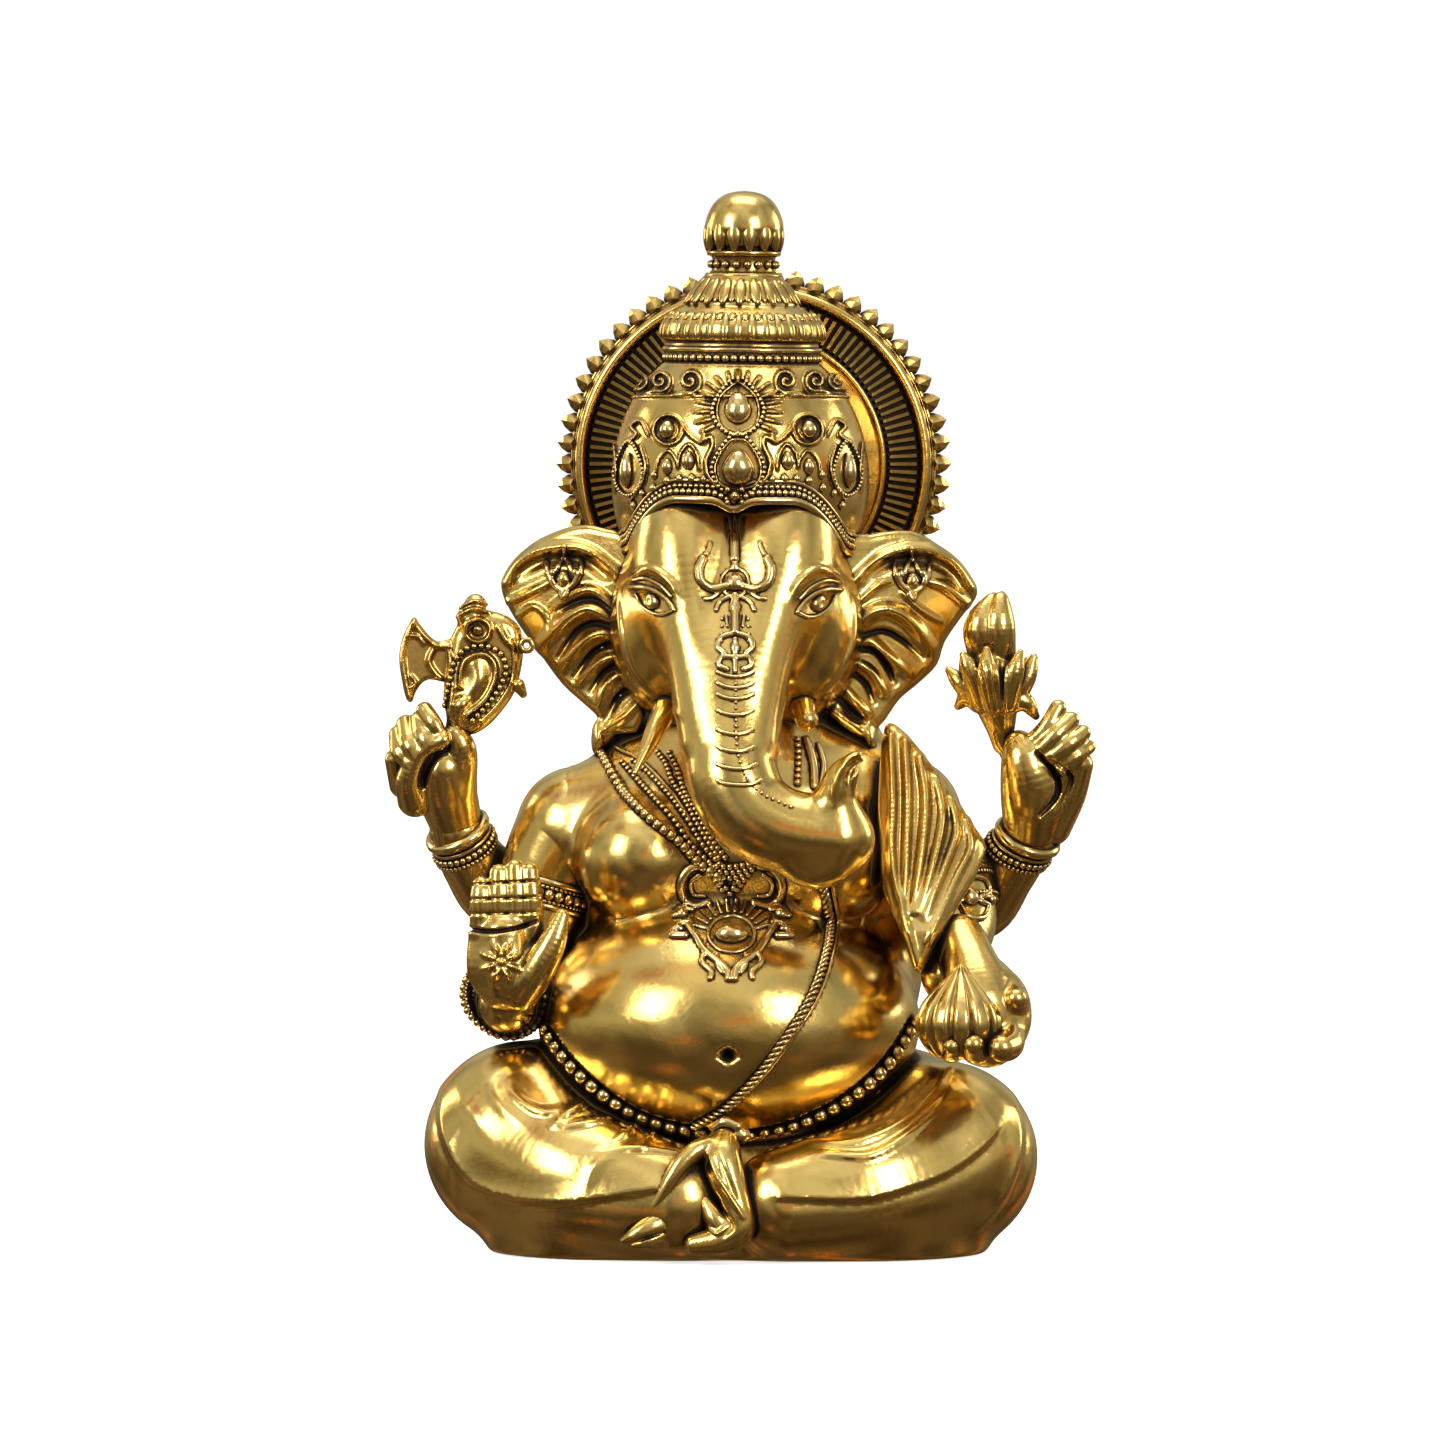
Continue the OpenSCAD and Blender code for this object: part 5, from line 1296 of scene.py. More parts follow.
crown_body = blob((0, crown_y, crown_z), (crown_wide, crown_wide, crown_tall))
crown_plain = unleaned(cut(0.4, cut(5, crown_body, lambda p: crown_top - p[:, 2]), below_rim))
cm = -0.4
crown_marks = [
    ([(-24, 171.2, 0.5), (-12, 170.8, 0.6), (0, 170.6, 0.5), (12, 170.8, 0.6), (24, 171.2, 0.5)], 0.6),
]
for way in (-1, 1):
    def side(points):
        return [(cm + way * u, v, h) for u, v, h in points]
    for u0, v0, r0 in ((9.7, 173.9, 2.7), (15.7, 174.1, 2.4), (20, 174.4, 2)):
        spiral = [(u0 + (0.3 + (r0 - 0.3) * k / 14) * math.cos(k * 0.72 + 1.4),
                   v0 + (0.3 + (r0 - 0.3) * k / 14) * math.sin(k * 0.72 + 1.4), 1.0)
                  for k in range(15)]
        crown_marks.append((side(spiral + [(u0 + r0 * 1.2, v0 - r0, 0.5)]), 0.75))
    crown_marks += [
        (side([(0, 161.9, 0.6), (1.6, 161.6, 0.9), (3.6, 159, 0.9), (4.6, 156, 0.9), (3.6, 152.9, 0.9),
               (0, 151.8, 0.9)]), 0.5),
        (side([(0, 162.6, 0.6), (3.2, 164.4, 0.8), (4.2, 167.6, 0.8), (3.2, 171, 0.8), (0, 173.6, 0.8)]),
         0.5),
        (side([(11, 164.6, 0.8), (9.4, 162.6, 0.9), (7.4, 161.4, 0.9), (6.8, 162.8, 0.7)]), 0.6),
        (side([(7.4, 161.4, 0.8), (5.4, 162.4, 0.9), (5.2, 160.4, 0.9), (6.4, 157.6, 0.9), (6, 154.8, 0.9),
               (4.4, 152.6, 0.7)]), 0.7),
        (side([(14 + 3 * math.cos(a), 164 + 3 * math.sin(a), 0.85) for a in np.linspace(0, 2 * math.pi,
            13)]), 0.6),
        (side([(14 + 2 * math.cos(a), 164 + 2 * math.sin(a), -0.3) for a in np.linspace(0, 2 * math.pi,
            9)]), 0.5),
        (side([(7.8, 156, 0.6), (8.2, 159, 0.7), (9.8, 161, 0.8), (11.6, 159, 0.7), (12, 156.4, 0.6),
               (12.4, 158, 0.7), (14, 159.8, 0.8), (15.8, 158, 0.7), (16.4, 155.4, 0.5)]), 0.45),
        (side([(18, 163, 0.7), (19.6, 166, 0.9), (21.6, 165, 0.8), (20.4, 163.2, 0.7), (22.6, 161.6, 0.7)]),
         0.6),
        (side([(19.6, 161, 0.6), (18.6, 157, 0.8), (19.4, 153, 0.8), (21.6, 150, 0.6)]), 0.5),
        (side([(25.2, 162, 0.6), (24.6, 157, 0.8), (24.8, 152, 0.6)]), 0.5),
    ]
    for k in range(9):
        a = math.radians(-32 + 15.5 * k)
        crown_marks.append((side([(5.6 * math.cos(a), 167.6 + 5.6 * math.sin(a), 0.5),
                                  (7.1 * math.cos(a), 167.6 + 6.8 * math.sin(a), 1.0),
                                  (8.7 * math.cos(a), 167.6 + 8 * math.sin(a), 0.5)]), 0.62))
crown_form = chased(crown_plain, crown_marks)
ready(cast("crown", crown_form, (-31, -20, 122), (31, 38, 183), 0.31, antique), "crown_body")

# ---- Brow band ----
# Two rows of small beads on a plain raised rim follow the crown's lower edge
# and dip to a flower over the middle of the brow.


def round_crown(degrees, rise, proud):
    """A route round the crown, from rise above its rim at each angle, and proud of its wall."""
    rows = []
    for a in degrees:
        h = float(rim_rise(a)) + rise - 1.8 * math.exp(-(a / 5.5) ** 2)
        r = crown_half(h) + proud
        rows.append((r * math.sin(math.radians(a)), crown_y - r * math.cos(math.radians(a)), rim_z + h))
    return leaning(np.array(rows, np.float32))


whole_turn = np.linspace(-112, 112, 90)
rim_bar = rod("rim", thickened(round_crown(whole_turn, 0.9, 0.6), 0.85), bright)
upper_bar = rod("rim", thickened(round_crown(whole_turn, 4.7, 0.1), 0.45), bright)
rows = [beaded("rim_beads", [round_crown(whole_turn, 2.4, 0.5)], 0.7, 1.34, segments=12, rings=7),
        beaded("rim_beads", [round_crown(np.linspace(-112, -9, 60), 3.55, 0.15),
                             round_crown(np.linspace(9, 112, 60), 3.55, 0.15)],
               0.56, 1.15, segments=12, rings=7)]
ready(merged("brow_band", rim_bar, upper_bar, *rows), "brow_band", slot="bright_brass")

# ---- Crown jewels and bead rows ----
# Domed drops and round bosses, each soldered in a frame of beads, and the
# bead row below the crown's upper tier.


def drop_ring(u, v, wide, tall, count=24):
    """A closed route round a drop with its point up."""
    rows = []
    for a in np.linspace(0, 2 * math.pi, count, False):
        s, c = math.sin(a), math.cos(a)
        rows.append((u + wide * s * (1 - 0.30 * max(c, 0)), v + tall * c + 0.16 * tall * max(c, 0) ** 3))
    p, n = on_front(crown_plain, rows)
    return p + n * 0.45


jewels = [(cm, 168.2, 2.7, 3.5, 2.4), (cm, 156.2, 3.2, 3.7, 2.8)]
for way in (-1, 1):
    jewels += [(cm + way * u, v, wide, tall, proud) for u, v, wide, tall, proud in (
        (14, 164, 1.7, 1.9, 1.7), (9.8, 157.7, 1.35, 1.9, 1.5), (14, 156.6, 1.15, 1.7, 1.3),
        (22, 156, 1.7, 3.6, 1.8),
        (20.6, 149, 0.8, 1.0, 1.0), (14, 153.8, 0.85, 1, 1), (11.6, 154.2, 0.75, 0.9, 0.9),
        (9.2, 154.2, 0.85, 1, 1), (6.8, 154, 0.75, 0.9, 0.9),
        (16.6, 155, 0.8, 1, 0.9), (16.8, 152.4, 0.8, 1, 0.9), (19, 151.4, 0.7, 0.9, 0.9))]
flower_u, flower_v = -1.0, 150.8
jewels.append((flower_u, flower_v, 1.25, 1.25, 2.4))
for k in range(4):
    a = math.radians(45 + 90 * k)
    jewels.append((flower_u + 1.9 * math.cos(a), flower_v + 1.7 * math.sin(a), 0.8, 0.8, 1.9))
jewel_piece = cast("drops", join(0.15, *domes(crown_plain, jewels)), (-27, -22, 140), (27, 12, 175), 0.26,
                   bright)
rings = [beaded("jewel_beads", [drop_ring(cm, 168, 5.1, 5.3), drop_ring(cm, 156.4, 5.2, 5.7)], 0.5, 1.02,
                closed=True, segments=10, rings=6),
         beaded("jewel_beads", [drop_ring(cm - 21.6, 156, 2.9, 5), drop_ring(cm + 21.6, 156, 2.9, 5)], 0.45,
                0.98, closed=True, segments=10, rings=6)]
ready(merged("crown_jewels", jewel_piece, *rings), "crown_jewels", slot="bright_brass")


def ring_round(radius, z, steps=96):
    a = np.radians(np.linspace(-180, 180, steps, False))
    rows = np.stack([radius * np.sin(a), crown_y - radius * np.cos(a), np.full_like(a, z)], 1)
    return leaning(rows.astype(np.float32))


collar = beaded("collar", [ring_round(15.3, 178.8)], 0.9, 1.75, closed=True, segments=12, rings=7)
collar_rods = [rod("collar", thickened(ring_round(r, z), w), bright) for r, z,
               w in ((15.7, 180.5, 0.5), (15.9, 177.2, 0.4))]
ready(merged("crown_bead_rows", collar, *collar_rods), "crown_bead_rows", slot="bright_brass")

# ---- Crown tier and knob ----
# A turned tier with a ring of upright lobes and a cone of pointed leaves, then
# a neck with studs and a bulb whose lower half opens in petals.

ring_of, g = new_rule("ring_of", [("Shape", "Object", None), ("Count", "Int", 12), ("Radius", "Float", 1.0),
                                  ("Material", "Material", None)])
line = add_node(ring_of, "GeometryNodeMeshLine", sockets={"Count": g["Count"], "Offset": (0, 0, 0)})
number = add_node(ring_of, "GeometryNodeInputIndex")
turn = maths(ring_of, "MULTIPLY", maths(ring_of, "DIVIDE", number.outputs[0], g["Count"]), 2 * math.pi)
facing = add_node(ring_of, "ShaderNodeCombineXYZ", sockets={"Z": turn})
out = add_node(ring_of, "ShaderNodeCombineXYZ", sockets={"X": g["Radius"]})
swung = add_node(ring_of, "ShaderNodeVectorRotate", rotation_type="EULER_XYZ",
                 sockets={"Vector": out.outputs[0], "Rotation": facing.outputs[0]})
spread = add_node(ring_of, "GeometryNodeSetPosition", sockets={"Geometry": line.outputs[0],
    "Position": swung.outputs[0]})
shape = add_node(ring_of, "GeometryNodeObjectInfo", sockets={"Object": g["Shape"]})
placed = add_node(ring_of, "GeometryNodeInstanceOnPoints",
                  sockets={"Points": spread.outputs[0], "Instance": shape.outputs["Geometry"],
                           "Rotation": facing.outputs[0]})
close_rule(ring_of, placed.outputs[0], g["Material"], smooth=False)


def ring_piece(name, shape_piece, count, radius, centre, matrix):
    """The shape repeated round a circle; it points along X at its place, with Z along the circle's axis."""
    piece = apply_rule(path_piece(name, [np.zeros((2, 3))]), ring_of,
                       Shape=shape_piece, Count=count, Radius=radius * MM, Material=antique)
    old = shape_piece.data
    bpy.data.objects.remove(shape_piece)
    bpy.data.meshes.remove(old)
    piece.data.transform(Matrix.Translation(Vector(centre) * MM) @ matrix.to_4x4())
    return piece


def petal(name, length, wide, thick, lean_out, around, rows, point):
    """A closed leaf that stands along Z, leans out by an angle and comes to a point."""
    grid = []
    for i in range(-1, rows + 2):
        s = min(max(i / rows, 0), 1)
        shut = 0 if i in (-1, rows + 1) else 1
        half = wide / 2 * shut * math.sin(math.pi * min(0.98, 0.12 + 0.86 * s) ** point)
        for j in range(around):
            a = 2 * math.pi * j / around
            x = shut * thick * (0.15 + 0.85 * math.sin(math.pi * min(1, 0.2 + s * 0.8))) * math.cos(a)
            y, z = half * math.sin(a), length * s
            grid.append((x * math.cos(lean_out) + z * math.sin(lean_out), y, z * math.cos(lean_out)
                         - x * math.sin(lean_out)))
    faces = [(i * around + j, i * around + (j + 1) % around, (i + 1) * around + (j + 1) % around,
              (i + 1) * around + j)
             for i in range(rows + 2) for j in range(around)]
    return sealed(new_piece(name, grid, faces, antique))


tier_centre = np.array(lean @ Vector((0, 9, 180)))
tier_turn = lean.to_3x3()
tier_profile = [(8, -1), (15.2, -1), (15.4, 1.4), (15.2, 2), (16.2, 2.5), (16.5, 4), (15.8, 6.2),
                (13.2, 8.2), (11.6, 9.2), (11.3, 9.9), (10.9, 10.2),
                (9.2, 12.6), (7.6, 15.6), (5, 16)]
tier = turned("tier_body", rounded_profile(tier_profile, 4), tier_centre, antique, 128, matrix=tier_turn)
lobes = ring_piece("lobes", petal("lobe", 5.8, 2.7, 1.5, math.radians(-16), 12, 8, 0.9), 36, 15.9,
                   tier_centre + (0, 0, 2.4), tier_turn)
leaves = ring_piece("leaves", petal("leaf", 7.0, 2.9, 0.85, math.radians(-34), 10, 8, 1.1), 20, 11.5,
                    tier_centre + (0, 0, 9.4), tier_turn)
leaves_behind = ring_piece("leaves", petal("leaf", 6.6, 2.4, 0.6, math.radians(-34), 10, 8, 1.1), 20, 11.1,
                           tier_centre + (0, 0, 9.8),
                           tier_turn @ Matrix.Rotation(math.pi / 20, 3, "Z"))
fringe = ring_piece("fringe", petal("fringe", 3.2, 1.9, 0.6, math.radians(-58), 8, 6, 1.0), 36, 15.6,
                    tier_centre + (0, 0, 6.4),
                    tier_turn @ Matrix.Rotation(math.pi / 36, 3, "Z"))
ready(merged("crown_tier", tier, lobes, leaves, leaves_behind, fringe), "crown_tier")

knob_centre = np.array(lean @ Vector((0, 9, 195)))
knob_profile = [(5, -1), (7.6, 0), (7.6, 0.8), (6.5, 1.3), (6.4, 3.9), (7.3, 4.4), (7.4, 5.2), (6.2, 5.7),
                (7.0, 6.6), (7.6, 8.4), (7.9, 10),
                (7.5, 12.2), (6.2, 14.8), (4.2, 16.5), (2, 17.2), (0.01, 17.4)]
knob = turned("knob_body", rounded_profile(knob_profile, 5), knob_centre, antique, 96, matrix=tier_turn)
studs = ring_piece("studs", turned("stud", [(0, -0.85), (0.62, -0.6), (0.9, 0), (0.62, 0.6), (0, 0.85)],
                                   (0, 0, 0), antique, 12), 18, 6.5,
                   knob_centre + (0, 0, 2.6), tier_turn)
open_petals = ring_piece("petals", petal("petal", 7.0, 3.3, 1.3, math.radians(4), 14, 12, 1.1), 14, 6.7,
                         knob_centre + (0, 0, 5.2), tier_turn)
ready(merged("crown_knob", knob, studs, open_petals), "crown_finial")

# ---- Halo ----
# A cast disc behind the crown, riveted on: a smooth field, a belt of fine
# ribs, a raised rim and a border of pointed leaves.

halo_centre = (1, 36.2, 157)
facing_viewer = Matrix.Rotation(math.pi / 2, 3, "X")
disc_profile = [(0.01, 0), (30, 0), (37, 0), (37.5, 0.5), (37.5, 1.9), (37.1, 2.2), (36.6, 2.3),
                (36.3, 3.3), (35.3, 3.9), (34.5, 3.3), (34.1, 2.2),
                (33.7, 1.5), (27.6, 1.5), (27.3, 2.4), (26.6, 2.9), (25.9, 2.4), (25.4, 1.9), (17, 2.3),
                (8, 2.6), (0.01, 2.7)]
disc = turned("halo_disc", rounded_profile(disc_profile, 3), halo_centre, antique, 192,
              matrix=facing_viewer)
tooth_line = [(-0.8, -2.05), (0.9, -2.05), (2.2, -1.3), (3.3, 0), (2.2, 1.3), (0.9, 2.05), (-0.8, 2.05)]


def faceted(name, line, height, crown_points):
    """A small solid with a flat outline and a top drawn together to a few points."""
    n = len(line)
    points = [(x, y, 0) for x, y in line] + [(x, y, height * 0.55) for x, y in line] + crown_points
    tops = [min(range(len(crown_points)), key=lambda c: (crown_points[c][0] - x) ** 2
                + (crown_points[c][1] - y) ** 2) for x, y in line]
    faces = []
    for i in range(n):
        j = (i + 1) % n
        faces += [(i, j, n + j), (i, n + j, n + i), (n + i, n + j, 2 * n + tops[i])]
        if tops[i] != tops[j]:
            faces.append((n + j, 2 * n + tops[j], 2 * n + tops[i]))
    faces += [(0, i + 1, i) for i in range(1, n - 1)]
    faces += [(2 * n, 2 * n + i, 2 * n + i + 1) for i in range(1, len(crown_points) - 1)]
    return new_piece(name, points, faces, antique, smooth=False)


teeth = ring_piece("teeth", faceted("tooth", tooth_line, 2.6, [(0.5, 0, 2.9), (2.1, 0, 1.9)]), 56, 37.1,
                   np.array(halo_centre) + (0, -0.2, 0), facing_viewer)
ribs = ring_piece("ribs", faceted("rib", [(0, -0.42), (6.0, -0.5), (6.0, 0.5), (0, 0.42)], 1.6,
                                   [(0.3, -0.3, 1.9), (5.7, -0.36, 1.9), (5.7, 0.36, 1.9),
                                    (0.3, 0.3, 1.9)]), 120, 27.7,
                  np.array(halo_centre) + (0, -1.3, 0), facing_viewer)
ready(merged("halo", disc, teeth, ribs), "halo_disc")

# ---- Armlets and bracelets ----
# Cast bands and bead rows round the upper arms and the wrists, soldered to
# the skin so that they follow its shape.


def round_limb(solid, centre, axis, offset, lift, count=48, reach=16):
    """A closed route round a limb, at an offset along its axis, lifted off the skin."""
    axis = Vector(axis).normalized()
    side = axis.orthogonal().normalized()
    other = axis.cross(side)
    a = np.arange(count) * 2 * math.pi / count
    way = (np.cos(a)[:, None] * np.array(side) + np.sin(a)[:, None] * np.array(other)).astype(np.float32)
    p = (np.array(centre) + np.array(axis) * offset + way * reach).astype(np.float32)
    for _ in range(50):
        p -= way * np.clip(measure(solid, p) * 0.8, -2, 2)[:, None]
    p = 0.5 * p + 0.25 * np.roll(p, 1, 0) + 0.25 * np.roll(p, -1, 0)
    return p + way * lift


def closed_rod(line, radius):
    return rod("hoop", thickened(np.vstack([line, line[:2]]), radius), bright, 10)


def band(name, node, solid, centre, axis, rods, bead_rows, extra=()):
    parts = [closed_rod(round_limb(solid, centre, axis, offset, lift), radius) for offset, radius,
             lift in rods]
    parts += [beaded("row", [round_limb(solid, centre, axis, offset, radius * 0.4)], radius, radius * 1.9,
                     closed=True, segments=12, rings=7)
              for offset, radius in bead_rows]
    parts += list(extra)
    return ready(merged(name, *parts), node, slot="bright_brass")


band("right_armlet", "right_armlet", front_right, (-40.6, 4.2, 71), (-0.25, -0.08, -1),
     [(-2.4, 0.7, 0.1), (2.4, 0.7, 0.1)], [(0, 1.1), (-1.4, 0.5), (1.4, 0.5)])
volutes = relief("volutes", front_left, [
    ([(44.6, 72.6), (46.4, 74.4), (49, 74), (50, 71.6), (48.2, 70.4)], 0.6),
    ([(44, 69), (45.6, 66.6), (48.6, 66.4), (49.8, 68.6), (48.2, 69.6)], 0.6),
    ([(42, 73.6), (42, 68)], 0.6)], [(46, 70.6, 1.9, 2.2, 1.8), (50.4, 70, 1.1, 1.2, 1.1)], (38, -16, 62),
                 (56, 10, 78), 0.25)
band("left_armlet", "left_armlet", front_left, (44.2, 3.4, 71.4), (0.3, -0.25, -1),
     [(-3.2, 0.6, 0.1), (3.2, 0.6, 0.1)], [(-2.2, 0.5), (2.2, 0.5)], [volutes])
band("front_right_bracelet", "front_right_bracelet",
     join(1, front_right, blob((-46.6, -16, 51.6), (8, 8, 7.4))), (-46.4, -14, 51.2), (0, 1, 0.14),
     [(1.5, 0.5, 0.0)], [(-0.4, 0.85), (2.8, 0.5)])
band("rear_right_bracelet", "rear_right_bracelet", rear_right, (-57, 7.4, 82.4), (-3.4, -4, 7),
     [(1.0, 1.15, 0.1), (-0.9, 0.45, 0.1)], [(-2.2, 0.7), (-3.6, 0.5)])
band("rear_left_bracelet", "rear_left_bracelet", rear_left, (58, 7.6, 81.4), (3.6, -4, 8),
     [(1.0, 1.15, 0.1), (-0.9, 0.45, 0.1)], [(-2.2, 0.7), (-3.6, 0.5)])

# ---- Axe ----
# A parade axe: a crescent blade with a raised border, and a round-bellied head
# with a beaded drop, a ringed eye and a cap, cast on the handle in the fist.

blade_line = [(-65.6, 126.7), (-67.7, 122.8), (-68.5, 118.7), (-68, 114.2), (-67.3, 110.9), (-66.2, 109.6),
              (-65, 112.2), (-62.7, 114.2), (-57, 114),
              (-57, 122), (-61, 121.8), (-63.4, 123.9)]
body_line = [(-58.2, 122.6), (-56, 126.4), (-52, 128), (-47.3, 127.2), (-44.3, 124.6), (-43.6, 120.6),
             (-44.2, 115.6), (-45.4, 111.6), (-47.8, 108),
             (-50.8, 104.8), (-54.4, 103), (-58, 104.4), (-59.4, 108.4), (-59.6, 113)]


def head_depth(flat):
    return -0.4 + 0 * flat[:, 0]


blade = chased(plate(blade_line, head_depth, 1.7, 0.7), [
    (border, 0.9) for border in (
        [(-65.6, 126, 0.8), (-67.2, 122.6, 0.9), (-67.9, 118.7, 0.9), (-67.4, 114.4, 0.9),
         (-66.5, 110.4, 0.8)],
        [(-65.4, 125.4, 0.7), (-63.6, 123, 0.8), (-61, 121, 0.8), (-58.6, 120.8, 0.7)],
        [(-61.2, 121, 0.7), (-62.6, 118, 0.9), (-61.4, 115.6, 0.8), (-60.2, 114.4, 0.6)])] + [
    ([(-66, 112.6, 0.6), (-65.2, 113.6, 0.8), (-66.2, 115, 0.4)], 0.6),
            ([(-66.8, 123, 0.5), (-64.8, 122.8, 0.8), (-63.6, 121.4, 0.5)], 0.6)])
belly = [(-56.3, 112.6, 1.0), (-56, 116.1, 1.1), (-55, 118.3, 1.1), (-52.1, 119.3, 1.1),
         (-49.9, 118.2, 1.1), (-49.1, 115.9, 1.1), (-49.7, 113.1, 1.1),
         (-51.6, 109.8, 1.1), (-55.1, 106.9, 1.0)]
axe_body = chased(join(0.8, plate(body_line, head_depth, 3.1, 2.6),
                       limb(drawn([(-54.4, 126.6, 0.4, 2.6), (-53.2, 129.2, 0.4, 2.2)]), 4),
                       limb(drawn([(-57.4, 99, 1, 2.0), (-57.2, 104, 0.4, 2.1), (-56.4, 109, -1.6, 1.6)]),
                            6),
                       limb(drawn([(-44.6, 113, 0, 1.4), (-43.6, 111.2, 0, 0.8)]), 3)), [
    (belly, 0.95), ([(-53, 117, 0.9), (-52.6, 114, 1.3), (-54.4, 110.6, 0.9), (-56.6, 107.4, 0.4)], 3.0),
    ([(-57.8, 112.4, 0.7), (-58.4, 107.6, 0.9), (-57.8, 104.8, 0.7)], 0.7),
    ([(-52.7 + 2.5 * math.cos(a), 124 + 2.3 * math.sin(a), 0.9) for a in np.linspace(0, 2 * math.pi, 13)],
     0.8),
    ([(-52.8, 124, 0.9), (-52.6, 124, 0.9)], 1.0, "round"),
    ([(-57, 126.8, 0.4), (-53.6, 128.4, 0.8), (-50.2, 127.6, 0.4)], 0.6),
                           ([(-56.4, 128.6, 0.5), (-53.4, 130, 0.8), (-50.6, 129.2, 0.4)], 0.5),
    ([(-46, 122, 0.6), (-45.4, 118, 0.9), (-46, 113.6, 0.9), (-48.4, 109.4, 0.8), (-52, 105.6, 0.5)], 0.7),
    ([(-48.4, 124.6, 0.5), (-47.2, 122.4, 1.0), (-45.6, 120.8, 0.5)], 1.0),
    ([(-60, 122, 0.1), (-58.4, 118.6, 0.8), (-58.6, 114.6, 0.4)], 0.8)])
eyelet = limb(drawn([(-42.9 + 1.15 * math.cos(a), 121 + 1.15 * math.sin(a), 0, 0.55)
                     for a in np.linspace(0, 2 * math.pi, 11)]), 2)
handle = limb(drawn([(-59.8, 81, 4, 1.9), (-60.4, 89, 2.6, 1.9), (-59, 98, 1.2, 2.0),
                     (-57.4, 104, 0.4, 2.0)]), 6)
axe = cast("axe_body", join(0.3, blade, axe_body, eyelet, handle), (-72, -8, 78), (-39, 10, 134), 0.28,
           antique)
loop_line = [(-59.2, 109), (-58.8, 111.3), (-58.4, 113.9), (-57.7, 117), (-55.6, 120), (-52.7, 120.9),
             (-49.9, 120.5), (-48, 119.2), (-47.2, 117.4),
             (-47, 115.7), (-47.7, 113.7), (-48.8, 111.7), (-50.8, 109), (-53.8, 105.9)]
axe_beads = beaded("axe_beads", [laid(axe_body, loop_line, 0.15, 6)], 0.66, 1.42, antique, segments=12,
                   rings=7)
ready(merged("axe", axe, axe_beads), "axe")

# ---- Lotus bud ----
# A closed bud with three petals showing, in a calyx of ragged leaves, on a
# stalk through the left rear fist.

bud = join(0.35, limb(drawn([(49, 119.6, 1, 3.4), (48.6, 124.6, 0.4, 3.7), (50.2, 129.2, 1, 1.9),
                             (51, 131, 1.4, 0.7)]), 7),
           limb(drawn([(52, 120, 0.4, 3.4), (52, 125, -0.6, 3.2), (52.2, 129.4, 0.4, 2.0),
                       (52.6, 131.2, 1, 0.7)]), 7),
           limb(drawn([(50.6, 120, 3.6, 3.6), (50.8, 126, 3.4, 3.2), (51.6, 130.6, 2.6, 0.9)]), 7))
calyx = join(
    0.5, limb(drawn([(52.6, 101, 2, 1.8), (52.3, 105, 1.6, 3.0), (51.4, 110, 1, 4.4), (50.6, 115, 1, 4.9),
                     (50.4, 118, 1, 4.2)]), 7),
    *[limb(drawn([(u0, 109.6, y0, 2.2), (um, vm, ym, 1.9), (u1, v1 - 1, y1, 0.8)]), 6) for u0, y0, um, vm,
      ym, u1, v1, y1 in (
        (48, 0, 44.4, 113.4, 0, 42, 117, 1), (48.6, -2, 46.2, 116, -3, 44.8, 120, -3),
          (50.6, -3, 49.6, 116, -5.2, 49.4, 121, -4.6),
        (53.6, -2.4, 55, 115.6, -4, 56.2, 120.4, -3.4), (54.6, 0, 57.6, 114.6, 0, 59, 119.6, 0.4),
          (52, 4, 52, 116, 6, 52, 121, 6),
        (48, 4, 46, 115, 5, 45, 119, 6), (55, 4, 57, 114, 5, 58, 119, 6), (54.4, 0, 57.2, 109.6, 0, 59.4,
            107.8, 0.6), (48.4, 0, 45.8, 110.6, 0, 43.8, 109.8, 0.6))])
calyx = chased(calyx, [([(50 + 1.6 * k, 118, 0.1), (50.8 + 1.1 * k, 112, 0.7), (52 + 0.5 * k, 104, 0.2)],
                        0.7) for k in (-2, -1, 0, 1, 2)])
stalk = limb(drawn([(60.6, 82, 4, 1.7), (57.4, 92, 2, 1.8), (53, 101.6, 1.6, 1.9)]), 6)
ready(cast("lotus", join(0.3, bud, calyx, stalk), (39, -9, 78), (64, 12, 134), 0.28, antique), "lotus_bud")

# ---- Age of the surface and painted shade ----
# The whole figure was darkened and then rubbed bright: every place that lies
# deep between its neighbours keeps the dark, and what stands out is polished.
# The same depth, found by short rays against the whole figure, also paints
# shade into the hollows and between neighbouring parts.

reach, off_surface, feelers, spread_out, strength = 0.0055, 0.00012, 14, 0.93, 1.9
depth_rule, g = new_rule("depth_rule", [])
normal = add_node(depth_rule, "GeometryNodeInputNormal").outputs[0]
here = add_node(depth_rule, "GeometryNodeInputPosition").outputs[0]
lift = add_node(depth_rule, "ShaderNodeVectorMath", operation="SCALE",
                sockets={0: normal, "Scale": off_surface})
start = add_node(depth_rule, "ShaderNodeVectorMath", operation="ADD", sockets={0: here, 1: lift.outputs[0]})
total = None
for k in range(feelers):
    z = 1 - (2 * k + 1) / feelers
    a = k * math.pi * (3 - math.sqrt(5))
    spoke = Vector((math.sqrt(1 - z * z) * math.cos(a), math.sqrt(1 - z * z) * math.sin(a), z)) * spread_out
    way = add_node(depth_rule, "ShaderNodeVectorMath", operation="ADD", sockets={0: normal, 1: spoke})
    feel = add_node(depth_rule, "GeometryNodeRaycast", sockets={
        "Target Geometry": g["Geometry"], "Source Position": start.outputs[0],
        "Ray Direction": way.outputs[0], "Ray Length": reach})
    near = maths(depth_rule, "SUBTRACT", 1.0, maths(depth_rule, "DIVIDE", feel.outputs["Hit Distance"],
                                                    reach))
    seen = maths(depth_rule, "MULTIPLY", near, feel.outputs["Is Hit"])
    total = seen if total is None else maths(depth_rule, "ADD", total, seen)
# The share of short rays that hit nearby surfaces is how enclosed each place is; the metals paint it as
# dark oxide and as painted shade.
share = maths(depth_rule, "MULTIPLY", total, strength / feelers, use_clamp=True)
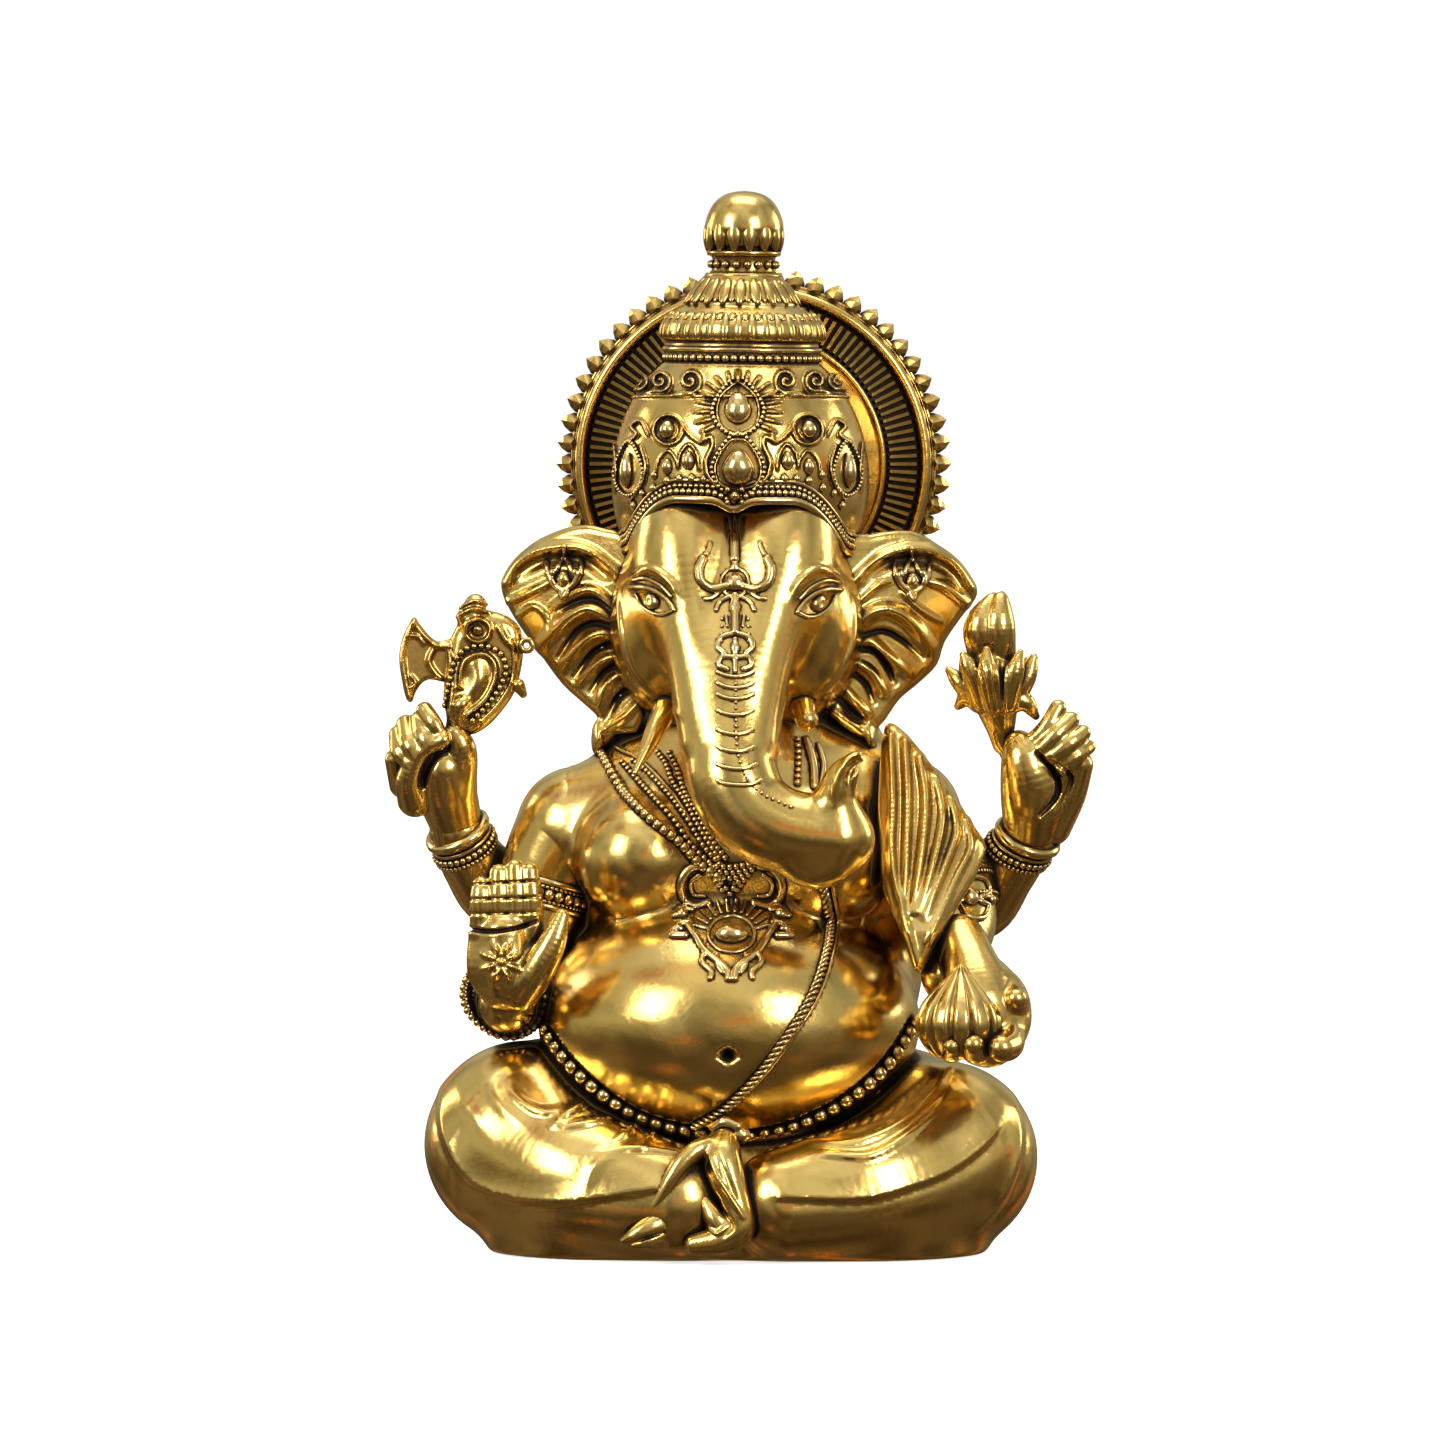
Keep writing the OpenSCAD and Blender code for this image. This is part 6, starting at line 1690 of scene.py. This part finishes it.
stored = add_node(depth_rule, "GeometryNodeStoreNamedAttribute", data_type="FLOAT", domain="POINT",
                  sockets={"Geometry": g["Geometry"], "Name": "patina", "Value": share})
add_node(depth_rule, "NodeGroupOutput", sockets={"Geometry": stored.outputs[0]})

cast_pieces = [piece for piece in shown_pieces() if piece.data.materials
               and piece.data.materials[0] in (antique, bright)]
sizes = [len(piece.data.vertices) for piece in cast_pieces]


def one_mesh(pieces):
    """Every piece's faces in one mesh, vertices in the order of the pieces."""
    points, totals, corners, first = [], [], [], 0
    for piece in pieces:
        mesh = piece.data
        place = np.empty(len(mesh.vertices) * 3, np.float32)
        mesh.vertices.foreach_get("co", place)
        corner = np.empty(len(mesh.loops), np.int32)
        mesh.loops.foreach_get("vertex_index", corner)
        count = np.empty(len(mesh.polygons), np.int32)
        mesh.polygons.foreach_get("loop_total", count)
        points.append(place)
        corners.append(corner + first)
        totals.append(count)
        first += len(mesh.vertices)
    points, totals, corners = np.concatenate(points), np.concatenate(totals), np.concatenate(corners)
    whole = bpy.data.meshes.new("whole_figure")
    whole.vertices.add(first)
    whole.vertices.foreach_set("co", points)
    whole.loops.add(len(corners))
    whole.loops.foreach_set("vertex_index", corners)
    whole.polygons.add(len(totals))
    whole.polygons.foreach_set("loop_start", np.concatenate([[0], np.cumsum(totals)[:-1]]).astype(np.int32))
    whole.update(calc_edges=True)
    return whole


figure = bpy.data.objects.new("whole_figure", one_mesh(cast_pieces))
bpy.context.scene.collection.objects.link(figure)
run = figure.modifiers.new("depth_rule", "NODES")
run.node_group = depth_rule
bpy.context.view_layer.update()
aged = figure.evaluated_get(bpy.context.evaluated_depsgraph_get()).to_mesh()
deep = np.empty(len(aged.vertices), np.float32)
aged.attributes["patina"].data.foreach_get("value", deep)
old = figure.data
bpy.data.objects.remove(figure)
bpy.data.meshes.remove(old)
for piece, part in zip(cast_pieces, np.split(deep, np.cumsum(sizes)[:-1])):
    piece.data.attributes.new("patina", "FLOAT", "POINT").data.foreach_set("value", part)
